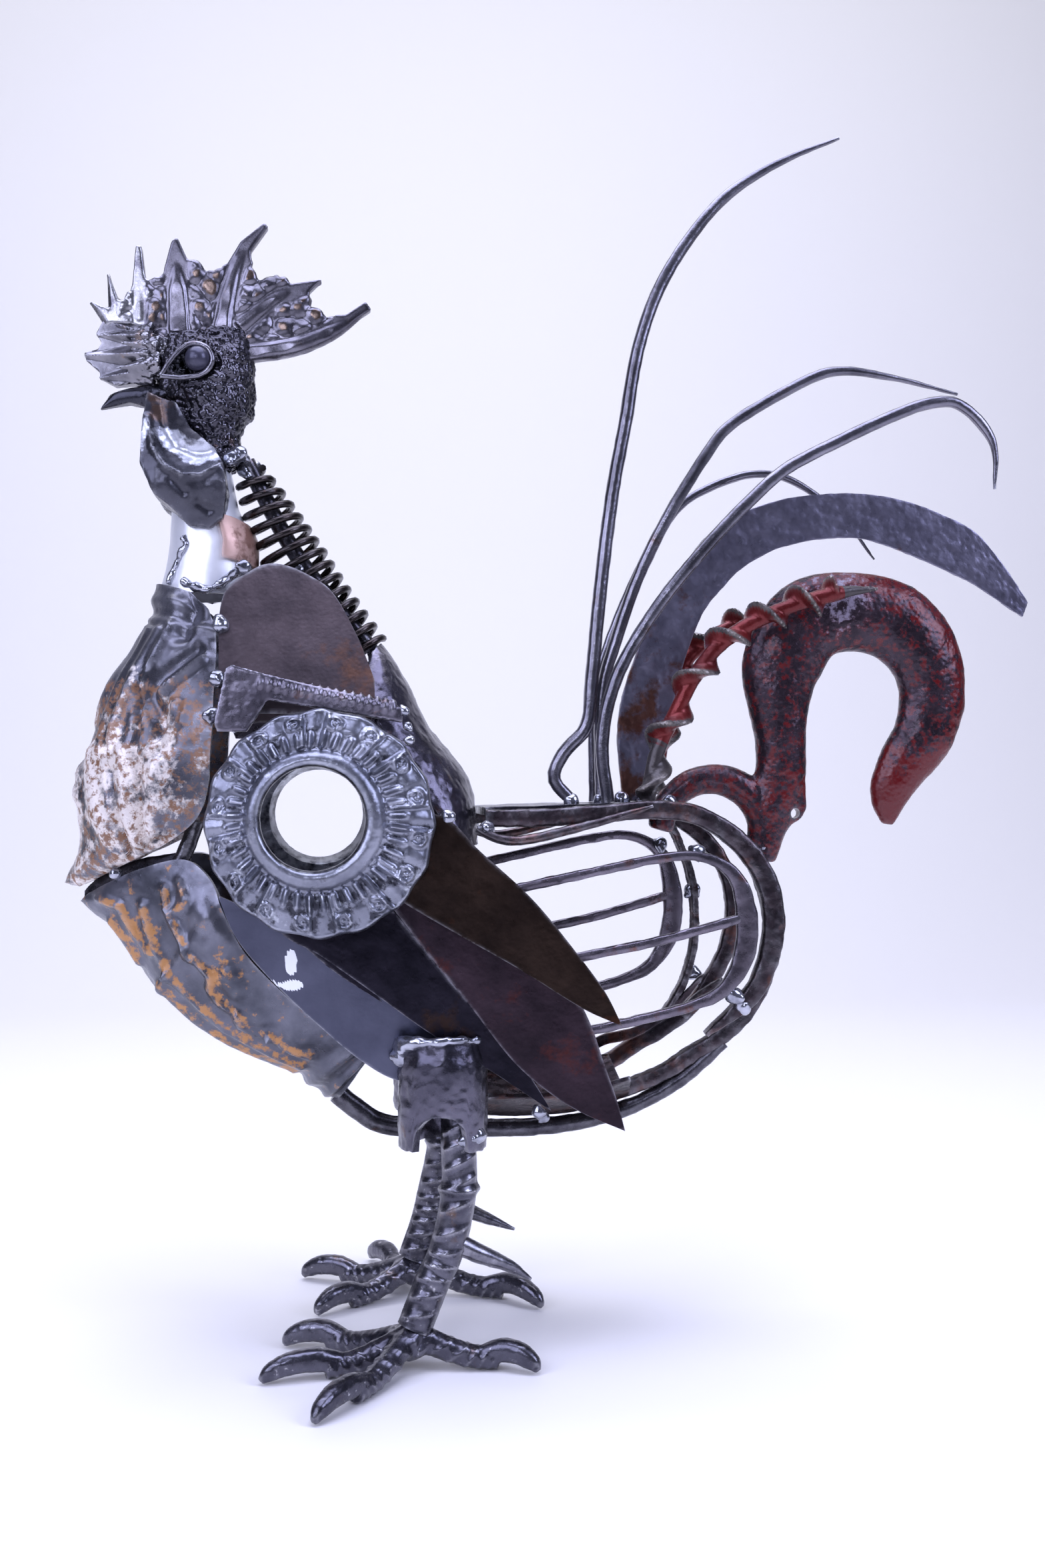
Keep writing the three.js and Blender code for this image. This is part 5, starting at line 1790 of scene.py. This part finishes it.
    def _hook(self) -> None:
        """The forged hook with half of its eye and the lug of its catch."""
        bm = bmesh.new()
        line = [(s[0], s[1]) for s in self.hook]
        girth = Route([(s[2], s[3]) for s in self.hook])
        sweep(bm, Route(line, self.hook_y), lambda t: (girth.point(t).x, girth.point(t).z),
              steps=120, sides=32)
        loop = [(self.eye[0] + self.eye_radius * math.cos(turn),
                 self.eye[1] + self.eye_radius * math.sin(turn))
                for turn in map(math.radians, self.eye_turns)]
        sweep(bm, Route(loop, self.hook_y),
              lambda t: (ramp(self.eye_wide, t), ramp(self.eye_deep, t)), steps=30, sides=24)
        slab(bm, self.lug, self.hook_y - self.lug_half, 2 * self.lug_half)
        bm = fused(bm, 1.35, 3)
        bm.normal_update()
        self._drill(bm)
        roughen(bm, (0.55, 14.0), (0.12, 3.0))
        # The second mark is a painted highlight on the top of the bow.
        forge(bm, "tail_hook", Finish.HOOK,
              stain=self._hook_paint,
              second=lambda p: 0.36 * bump(oval(p, self.hook_painted_highlight), 0, 1) - 0.25)

    def _drill(self, bm: Solid) -> None:
        """Open the lug's hole from face to face.

        Args:
            bm: the hook, with its normals up to date.
        """
        x, z = self.lug_hole
        cut = [f for f in bm.faces if abs(f.normal.y) > 0.5 and math.hypot(
            f.calc_center_median().x - x, f.calc_center_median().z - z) < self.lug_bore]
        bmesh.ops.delete(bm, geom=cut, context="FACES")
        rim = [e for e in bm.edges if e.is_boundary]
        for v in dict.fromkeys(v for e in rim for v in e.verts):
            out = Vector((v.co.x - x, 0, v.co.z - z)).normalized()
            v.co.x, v.co.z = x + out.x * self.lug_bore, z + out.z * self.lug_bore
        bmesh.ops.bridge_loops(bm, edges=rim)

    def _hook_paint(self, p: Vector) -> float:
        """More red on the outer rim, the point and the lug than on the shank.

        Args:
            p: the place.

        Returns:
            What the paint gains or loses there.
        """
        rim = smooth(14, 24, math.hypot(p.x - 160, p.z - 335) - 32) * smooth(120, 150, p.x)
        point = smooth(312, 280, p.z) * smooth(150, 170, p.x)
        return 0.11 * rim + 0.14 * point + 0.03 * smooth(320, 285, p.z) * (1 - point) - 0.05

    def _auger(self, name: str, bit: Bit) -> None:
        """A twisted bit: a core out of which a flange winds, with a pointed lead screw.

        Args:
            name: the solid that it stands for.
            bit: its path and its twist.
        """
        bm = bmesh.new()
        axis = Route(bit.line, bit.y)
        turns, screw = bit.turns, bit.screw

        def core(t: float) -> Pair:
            """Half size of the core at t."""
            size = self.core - self.core_taper * max(t - screw, 0) / (1 - screw)
            return (size, size)

        def flange(t: float, angle: float, p: Vector) -> float:
            """Height of the flange: a sharp edge on a broad hollow foot.

            Args:
                t: along the bit.
                angle: round it.
                p: the place.

            Returns:
                Height over the core.
            """
            off = abs((angle + TAU * turns * t + math.pi) % TAU - math.pi)
            rise = self.flange * clamp(1.12 - off / 1.25) ** 1.7
            return min(rise, self.flange_cap) * smooth(0, 0.02, t) * smooth(screw, screw - 0.02, t)

        sweep(bm, axis, core, steps=28 * turns, sides=44, relief=flange)
        tip = [axis.point(screw + (1 - screw) * k / 40) for k in range(41)]
        wind = [p + Vector((0, math.cos(1.1 * k), math.sin(1.1 * k))) * (2.6 - 0.05 * k)
                for k, p in enumerate(tip)]
        rod(bm, wind, [0.9, 0.5], steps=90, sides=6)
        roughen(bm, (0.25, 4.0))
        middle = [axis.point(k / 80) for k in range(81)]

        def steel(p: Vector) -> float:
            """Bare steel on the flange's edge and at both ends, paint between them.

            Args:
                p: the place.

            Returns:
                What the bare steel gains or loses there.
            """
            away, k = min(((p - q).length, k) for k, q in enumerate(middle))
            ends = max(smooth(screw, screw + 0.03, k / 80), smooth(0.16, 0.1, k / 80))
            return 0.7 * max(smooth(7.4, 8.8, away), ends) - 0.35

        forge(bm, name, Finish.AUGER, stain=steel)


@dataclass
class Cage:
    """Grates on the flanks, bands round the rump, the inner hoop and the belly."""

    grate_y: float = -52.0
    band_y: float = -44.0
    frame_line: Line = (
        (-57, 226), (-31, 232), (12, 241), (46, 247.5), (62, 248), (75, 243), (82, 235),
        (86, 220), (86, 204), (82, 191), (73, 180), (60, 174), (32, 167), (2, 161), (-28, 156),
    )
    frame_width: Sizes = (2.4, 2.4, 2.4, 2.5, 3.5, 5.5, 5.5, 3.5, 2.5, 2.4, 2.4)
    frame_deep: float = 2.5
    bar_line: Line = ((-41, 190), (0, 198), (46, 207), (84, 217))
    bar_half: Pair = (2.4, 2.4)
    far_rise: float = 1.08
    far_shift: Triple = (-17, 0, 4 - 209 * 0.08)
    band: Line = (
        (-44, 267), (-20, 267), (14, 269), (40, 271), (60, 269), (75, 262), (86, 253), (94, 243),
        (100, 230), (102, 213), (99, 195), (93, 181),
    )
    band_point: Line = ((86, 173), (77, 165.5), (67, 158))
    band_run: Line = ((80, 162), (62, 148), (45, 138.5), (30, 129), (10, 121.5))
    point_half: tuple[Sizes, float] = ((4.4, 4.6, 5.0, 5.6, 5.6, 4.8, 1.4), 3.9)
    band_half: tuple[Sizes, float] = ((4.4, 4.4), 3.9)
    middle: Line = (
        (99, 250), (106, 237), (111, 219), (113, 204), (111, 190), (107, 177), (99, 163),
        (89, 153), (80, 147), (68, 140), (53, 131), (38, 125), (24, 120.5), (8, 117.5),
        (-10, 116.5),
    )
    middle_half: tuple[Sizes, float] = ((4.2, 4.2), 4.4)
    hoop: Line = (
        (62, 266), (69, 250), (75, 234), (77, 215), (76, 193), (70, 174), (60, 157),
    )
    hoop_y: float = 30.0
    hoop_half: tuple[Sizes, float] = ((2.1, 2.1), 4.9)
    belly: Line = (
        (-118, 124), (-106, 114), (-96, 108), (-84, 105.5), (-40, 104), (-15, 104), (13, 107),
        (41, 115.5), (62, 127), (76, 138), (86, 147),
    )
    belly_radii: Sizes = (5.4, 5.2, 4.6, 4.2, 4)
    trough: Path = ((-42, -20, 120), (-20, -20, 119.5), (5, -20, 121), (32, -20, 128))
    trough_half: Pair = (1.5, 18)
    trough_side: Triple = (0, 0.9, -0.44)
    spikes: tuple[Line, ...] = (
        ((6, 123.5), (23, 140.5), (47.5, 149), (66, 163), (81, 180)),
        ((72, 155), (82, 168), (91, 177)),
    )
    spike_depths: Pair = (42, 24)
    spike_half: Pair = (3.2, 1.6)
    spike_tip: float = 0.4

    def build(self) -> None:
        """Make every piece of the cage."""
        near = self._grate()
        far = mirrored(near)
        for v in far.verts:
            v.co.z *= self.far_rise
            v.co += Vector(self.far_shift)
        forge(near, "rib_grate_near", Finish.GRATE)
        forge(far, "rib_grate_far", Finish.GRATE)
        for name, line, y, half in (
            ("rump_band_near", self.band + self.band_point, self.band_y, self.point_half),
            ("rump_band_far", self.band + self.band_run, -self.band_y, self.band_half),
            ("rump_band_middle", self.middle, 0, self.middle_half),
            ("inner_hoop", self.hoop, self.hoop_y, self.hoop_half),
        ):
            bm = bmesh.new()
            sweep(bm, Route(line, y), lambda t, h=half: (ramp(h[0], t), h[1]), steps=120,
                  sides=16, corner=0.45)
            if name == "rump_band_far":
                for spike in self.spikes:
                    self._spike(bm, spike)
            roughen(bm, (0.45, 7.0), (0.2, 2.0))
            forge(bm, name, Finish.BAND_IRON)
        rail = bmesh.new()
        rod(rail, self.belly, self.belly_radii, steps=90, sides=16)
        roughen(rail, (0.4, 6.0), (0.2, 2.0))
        forge(rail, "belly_rod", Finish.DARK_STEEL)
        plate = bmesh.new()
        sweep(plate, Route(self.trough), lambda t: self.trough_half, steps=50, sides=32, corner=0.3,
              side=Vector(self.trough_side))
        roughen(plate, (0.4, 8.0))
        forge_pair(plate, "belly_plate", Finish.BAND_IRON)

    def _spike(self, bm: Solid, line: Line) -> None:
        """A flat pointed bar inside the far side of the cage, its root welded to the far band.

        Args:
            bm: the mesh that gets it.
            line: its side view, from its root to its point.
        """
        last = len(line) - 1
        wide, deep = self.spike_half
        path = [(x, ramp(self.spike_depths, smooth(0, last, k)), z) for k, (x, z) in enumerate(line)]
        sweep(bm, Route(path), lambda t: (wide * (1 - t) ** 0.5 + self.spike_tip, deep), steps=30,
              sides=12, corner=0.5)

    def _grate(self) -> Solid:
        """The near grate: a bent frame and the bar across it.

        Returns:
            The mesh.
        """
        bm = bmesh.new()
        sweep(bm, Route(self.frame_line, self.grate_y),
              lambda t: (ramp(self.frame_width, t), self.frame_deep), steps=120, sides=14,
              corner=0.55)
        sweep(bm, Route(self.bar_line, self.grate_y), lambda t: self.bar_half, steps=40, sides=12,
              corner=0.6)
        roughen(bm, (0.35, 6.0), (0.15, 2.0))
        return bm


@dataclass
class Leg:
    """A thigh collar, a shank of ribbed bar, its spur and a foot of four ribbed toes."""

    name: str
    side: int
    shank: Path
    spur: Path
    ankle: Triple
    toes: tuple[tuple[Pair, Pair], ...]
    thigh_x: float = -65.5
    thigh_y: float = 48.0
    thigh_top: float = 160.0
    thigh_foot: float = 106.0
    thigh_radius: float = 21.5
    wall: float = 4.3
    arch_x: float = -2.0
    arch_radius: float = 13.0
    arch_foot: float = 5.0
    spur_radii: Sizes = (5.4, 4.6, 3, 0.8)
    rebar: float = 8.0
    shank_ribs: Triple = (9.6, 0.95, 118)
    joint: float = 86.0
    joint_bead: Pair = (1.8, 2.2)
    toe: float = 6.0
    toe_ribs: Pair = (7.0, 0.9)
    toe_bend: Pair = (0.62, 7.2)
    toe_end: float = 5.4
    claw_root: Pair = (0.82, 7.4)
    claw_line: Line = ((0.1, 9.6), (0.56, 9), (0.87, 5.4), (1, 1.9))
    claw_wide: Sizes = (4.4, 5.2, 4.8, 3.6, 1.5)
    claw_deep: Sizes = (4.6, 5.8, 5.4, 4.2, 1.8)
    heel: float = 14.0
    heel_radii: Triple = (10.5, 10.5, 8.5)

    def build(self) -> None:
        """Make every piece of the leg."""
        self._thigh()
        self._shank()
        self._foot()
        bm = bmesh.new()
        rod(bm, self.spur, self.spur_radii, steps=30, sides=14)
        roughen(bm, (0.25, 4.0))
        forge(bm, f"spur_{self.name}", Finish.REBAR)

    def _thigh(self) -> None:
        """A length of pipe with an arch cut in its outer side."""
        bm = bmesh.new()

        def wall(u: float, v: float) -> Vector:
            """The outer face of the pipe.

            Args:
                u: round it, 0 to 1.
                v: from its foot to its top, 0 to 1.

            Returns:
                The place.
            """
            turn = TAU * u
            off = math.cos(turn) * self.thigh_radius - self.arch_x
            foot = self.thigh_foot
            if math.sin(turn) * self.side > 0 and abs(off) < self.arch_radius:
                foot += math.sqrt(self.arch_radius**2 - off**2) + self.arch_foot
            z = foot + (self.thigh_top - foot) * v
            bulge = 0.8 * math.sin(math.pi * v) - 1.5 * smooth(0.7, 1, v)
            r = self.thigh_radius + bulge
            return Vector((self.thigh_x + r * math.cos(turn),
                           self.side * self.thigh_y + r * math.sin(turn), z))

        grid(bm, 100, 32, wall)
        seal(bm, 0.02)
        axis = Vector((self.thigh_x, self.side * self.thigh_y, 0))
        thicken(bm, lambda p: (axis - Vector((p.x, p.y, 0))).normalized() * self.wall)
        roughen(bm, (0.7, 9.0), (0.5, 3.6))
        forge(bm, f"thigh_{self.name}", Finish.THIGH)

    @staticmethod
    def _ribs(pitch: float, height: float, length: float) -> Relief:
        """Slanted ribs of reinforcing bar, broken on two sides.

        Args:
            pitch: distance between ribs.
            height: how far they stand out.
            length: length of the bar.

        Returns:
            The relief of the bar.
        """
        def relief(t: float, angle: float, p: Vector) -> float:
            """Height of the ribs and of the two seams along the bar.

            Args:
                t: along the bar.
                angle: round it.
                p: the place.

            Returns:
                Height over the plain bar.
            """
            wave = (t * length + 3.6 * math.cos(angle)) / pitch
            rib = bump(abs(wave % 1.0 - 0.5), 0, 0.15)
            seam = 0.7 * bump(math.sin(angle), 0, 0.1)
            ribs = height * rib * smooth(0.12, 0.45, abs(math.sin(angle)))
            return ribs + seam * height + 0.12 * cloud(p, 5.0)

        return relief

    def _shank(self) -> None:
        """Ribbed bar from the thigh to the ankle."""
        bm = bmesh.new()
        ribs = self._ribs(*self.shank_ribs)
        rise, width = self.joint_bead

        def relief(t: float, angle: float, p: Vector) -> float:
            """The ribs, and a ring of weld where two lengths of bar meet."""
            return ribs(t, angle, p) + rise * bump(p.z, self.joint, width)

        rod(bm, self.shank, [self.rebar] * 2, steps=150, sides=32, relief=relief)
        forge(bm, f"shank_{self.name}", Finish.REBAR)

    def _foot(self) -> None:
        """Ribbed toes that end in smooth claws, welded at the ankle."""
        bm = bmesh.new()
        ax, ay, _ = self.ankle
        for (ex, ey), (tx, ty) in self.toes:
            root, end, tip = Vector((ax, ay, 0)), Vector((ex, ey, 0)), Vector((tx, ty, 0))
            (bend, rise), (start, lift) = self.toe_bend, self.claw_root
            line = [self.ankle, root.lerp(end, bend) + rise * UP, end + self.toe_end * UP]
            sweep(bm, Route(line), lambda t: (self.toe - t, self.toe - t), steps=60, sides=24,
                  side=(end - root).cross(UP),
                  relief=self._ribs(*self.toe_ribs, (end - root).length))
            claw = [root.lerp(end, start) + lift * UP]
            claw += [end.lerp(tip, along) + high * UP for along, high in self.claw_line]
            sweep(bm, Route(claw),
                  lambda t: (ramp(self.claw_deep, t), ramp(self.claw_wide, t)), steps=36,
                  sides=18, side=(tip - end).cross(UP), corner=0.85)
        lump(bm, (ax, ay, self.heel), self.heel_radii, 0.15)
        bm = fused(bm, 0.9)
        roughen(bm, (0.2, 3.0))
        for v in bm.verts:
            v.co.z = max(v.co.z, 0.0)
        forge(bm, f"foot_{self.name}", Finish.REBAR)


LEGS = (
    Leg(
        "near", -1,
        ((-58, -48, 127), (-58, -51, 108), (-58, -54, 85), (-64, -56, 57), (-71, -57, 42),
         (-80, -59, 20)),
        ((-62, -56, 61), (-46, -54, 53), (-32, -51, 46), (-22, -49, 39)),
        (-81, -59, 17),
        (((-109, -101), (-127, -125)), ((-123, -67), (-153, -73)), ((-121, -28), (-144, -22)),
         ((-39, -63), (-21, -73))),
    ),
    Leg(
        "far", 1,
        ((-58, 48, 127), (-58, 52, 108), (-60, 55, 82), (-65, 58, 57), (-69, 59, 40),
         (-76, 58, 20)),
        ((-62, 58, 52), (-48, 56, 47), (-33, 54, 41), (-20, 52, 36)),
        (-76, 58, 17),
        (((-88, 104), (-99, 125)), ((-115, 82), (-138, 92)), ((-111, 36), (-129, 22)),
         ((-27, 44), (-8, 22))),
    ),
)


@dataclass
class Welds:
    """Beads and nuggets of weld where the pieces meet: x, y, z and size."""

    paired: tuple[Spot, ...] = (
        (-164, -29, 392, 4.0), (-226.5, -27, 239.5, 3.2),
        (-174, -41, 362, 4.4), (-175, -53, 335, 4.4), (-176, -58, 317, 4.2),
        (-85, -63, 319, 2.8), (-83.5, -64, 312, 2.4), (-82.5, -65, 305, 2.6),
        (-64, -64, 268, 4.0), (-44, -50, 262, 4.0),
        (-86, -54, 150, 4.6), (-84, -57, 156, 4.6), (-50, -60, 113, 4.8), (-55, -61.5, 111, 4.0),
        (-19, -54.5, 122.5, 3.2), (-15.5, -52, 119.5, 2.8), (80, -50, 178, 4.6),
        (62, -49, 250, 4.2), (86.5, -46, 171, 3.8), (-62, -57, 62, 5.0),
    )
    middle: tuple[Spot, ...] = (
        (4, -6, 275, 4.4), (20, -8, 275, 4.6), (32, 2, 276, 4.6), (44, 0, 276, 4.6),
        (56, -6, 274, 4.6), (104, 0, 249, 5.2), (90, 0, 154, 5.0), (-138, -2, 394, 4.4),
        (-163, 0, 446, 5.0), (-167, -12, 452, 4.4), (-171, -15, 449, 4.0), (-98, 0, 352, 4.4),
        (76, 30, 226, 4.6),
    )
    seam: Path = (
        (-194.9, -17, 408.2), (-192.8, -18.6, 404.1), (-196.9, -16.6, 397.8),
        (-199.5, -15.6, 391.5), (-201.5, -15.4, 384.5),
    )
    seam_size: float = 2.0
    runs: tuple[tuple[Path, Sizes], ...] = (
        (((-86.5, -49, 155), (-83.5, -57.5, 158), (-77, -64, 159.5), (-66, -67.5, 160),
          (-55, -64.5, 160), (-48.5, -59, 159)), (4.4, 4.6, 2.8, 2.0, 2.2, 1.6)),
        (((-163, -29, 392), (-169.5, -25.5, 388.5), (-175, -23, 384.5), (-181, -23.5, 382),
          (-188, -23.5, 382.5), (-195, -20.5, 386)), (3.0, 2.4, 2.8, 2.0, 2.6, 1.8)),
    )

    def build(self) -> None:
        """Make the beads of both sides as one piece and those of the middle as another."""
        sides = bmesh.new()
        for x, y, z, size in self.paired:
            for face in (1, -1):
                self._bead(sides, (x, y * face, z), size)
        for line, radii in self.runs:
            for face in (1, -1):
                rod(sides, [(x, y * face, z) for x, y, z in line], radii, steps=40,
                    relief=lambda t, angle, p: 1.5 * cloud(p, 5.0))
        forge(fused(sides, 0.85), "weld_beads_sides", Finish.WELD, solid=False)
        middle = bmesh.new()
        for x, y, z, size in self.middle:
            self._bead(middle, (x, y, z), size)
        rod(middle, self.seam, [self.seam_size] * 2, steps=40,
            relief=lambda t, angle, p: 1.3 * cloud(p, 3.6))
        forge(fused(middle, 0.7), "weld_beads_middle", Finish.WELD, solid=False)

    @staticmethod
    def _bead(bm: Solid, place: Triple, size: float) -> None:
        """A few overlapping drops.

        Args:
            bm: the mesh that gets them.
            place: their middle.
            size: radius of the largest.
        """
        draw = random.Random(round(place[0] * 7 + place[2] * 3))
        lump(bm, place, (size, size * 0.8, size), 0.1)
        for _ in range(3):
            shift = [draw.uniform(-0.8, 0.8) * size for _ in range(3)]
            drop = size * draw.uniform(0.4, 0.65)
            lump(bm, [p + s for p, s in zip(place, shift)], (drop, drop, drop), 0.08, 2)


@dataclass(frozen=True)
class SoftBox:
    """A rectangular lamp: its place and aim, its size in metres, watts and tint."""

    name: str
    place: Triple
    size: Pair
    power: float
    tint: Colour
    aim: Triple = (0.0, 0.0, 0.3)

    def hang(self) -> None:
        """Put the lamp in the scene."""
        data = bpy.data.lights.new(self.name, "AREA")
        data.shape = "RECTANGLE"
        data.size, data.size_y = self.size
        data.energy = self.power
        data.color = self.tint
        lamp = bpy.data.objects.new(self.name, data)
        lamp.location = self.place
        way = Vector(self.aim) - Vector(self.place)
        lamp.rotation_euler = way.to_track_quat("-Z", "Y").to_euler()
        bpy.context.scene.collection.objects.link(lamp)


@dataclass
class Studio:
    """Pale floor that sweeps up behind the rooster, soft lights and the camera, in metres."""

    camera_at: Triple = (-0.10995, -0.84634, 0.284)
    camera_turn: float = -6.0
    lens: float = 37.21
    floor: Colour = (0.96, 0.94, 0.91)
    floor_front: float = -3.0
    floor_half: float = 4.0
    bend_at: float = 1.2
    bend_radius: float = 0.8
    bend_steps: int = 16
    wall_top: float = 3.5
    boxes: tuple[SoftBox, ...] = (
        SoftBox("top_box", (-0.1, -0.1, 1.6), (1.5, 1.2), 27, (0.69, 0.72, 1.0)),
        SoftBox("left_box", (-1.2, -1.0, 1.0), (1.0, 1.2), 15, (0.69, 0.72, 1.0)),
        SoftBox("right_box", (1.2, -0.85, 1.1), (0.7, 1.0), 15, (0.66, 0.70, 1.0)),
        SoftBox("front_box", (-0.5, -1.5, 0.8), (0.45, 0.45), 5, (0.72, 0.75, 1.0)),
        SoftBox("sweep_wash", (0.0, 0.7, 2.2), (2.6, 0.8), 20, (0.92, 0.93, 1.0), (0.0, 1.9, 0.6)),
    )
    surround: Colour = (0.62, 0.66, 1.0)
    surround_strength: float = 0.11

    def build(self) -> None:
        """Set the floor, the lights and the camera."""
        self._floor()
        for box in self.boxes:
            box.hang()
        self._surround()
        self._camera()

    def _floor(self) -> None:
        """A seamless sweep of pale paper."""
        bm = bmesh.new()
        at, bend = self.bend_at, self.bend_radius
        profile = [(self.floor_front, 0.0), (at, 0.0)]
        profile += [(at + bend * math.sin(a), bend - bend * math.cos(a))
                    for a in (k * math.pi / (2 * self.bend_steps)
                              for k in range(1, self.bend_steps + 1))]
        profile += [(at + bend, self.wall_top)]
        verts = [bm.verts.new((-self.floor_half, y, z)) for y, z in profile]
        edges = [bm.edges.new(pair) for pair in zip(verts, verts[1:])]
        made = bmesh.ops.extrude_edge_only(bm, edges=edges)["geom"]
        bmesh.ops.translate(bm, verts=verts_of(made), vec=(2 * self.floor_half, 0, 0))
        face_out(bm)
        mesh = bpy.data.meshes.new("studio_floor")
        bm.to_mesh(mesh)
        bm.free()
        mesh.polygons.foreach_set("use_smooth", [True] * len(mesh.polygons))
        floor = bpy.data.objects.new("studio_floor", mesh)
        bpy.context.scene.collection.objects.link(floor)
        paper = bpy.data.materials.new("pale_paper")
        graph = Graph(paper)
        graph.feed(graph.shader, {"Base Color": self.floor, "Roughness": 0.6,
                                  "Specular IOR Level": 0.2})
        mesh.materials.append(paper)

    def _surround(self) -> None:
        """A pale world, seen without a film look."""
        world = bpy.data.worlds.new("pale_surround")
        bpy.context.scene.world = world
        world.use_nodes = True
        sky = world.node_tree.nodes["Background"]
        sky.inputs["Color"].default_value = (*self.surround, 1.0)
        sky.inputs["Strength"].default_value = self.surround_strength
        bpy.context.scene.view_settings.view_transform = "Standard"

    def _camera(self) -> None:
        """The camera at the height of the wing, looking level."""
        data = bpy.data.cameras.new("camera")
        data.lens = self.lens
        data.sensor_width = 36.0
        data.sensor_fit = "AUTO"
        camera = bpy.data.objects.new("camera", data)
        camera.location = self.camera_at
        camera.rotation_euler = (math.radians(90), 0, math.radians(self.camera_turn))
        bpy.context.scene.collection.objects.link(camera)
        bpy.context.scene.camera = camera


def main() -> None:
    """Build the studio and every part of the rooster."""
    logging.basicConfig(level=logging.INFO, format="%(message)s", stream=sys.stdout)
    Studio().build()
    for part in (Head(), Neck(), Breast(), ShoulderRing(), Wing(), Hackle(), Back(), Tail(),
                 Cage(), *LEGS, Welds()):
        part.build()
        LOG.info("%s done", type(part).__name__)


if __name__ == "__main__":
    main()
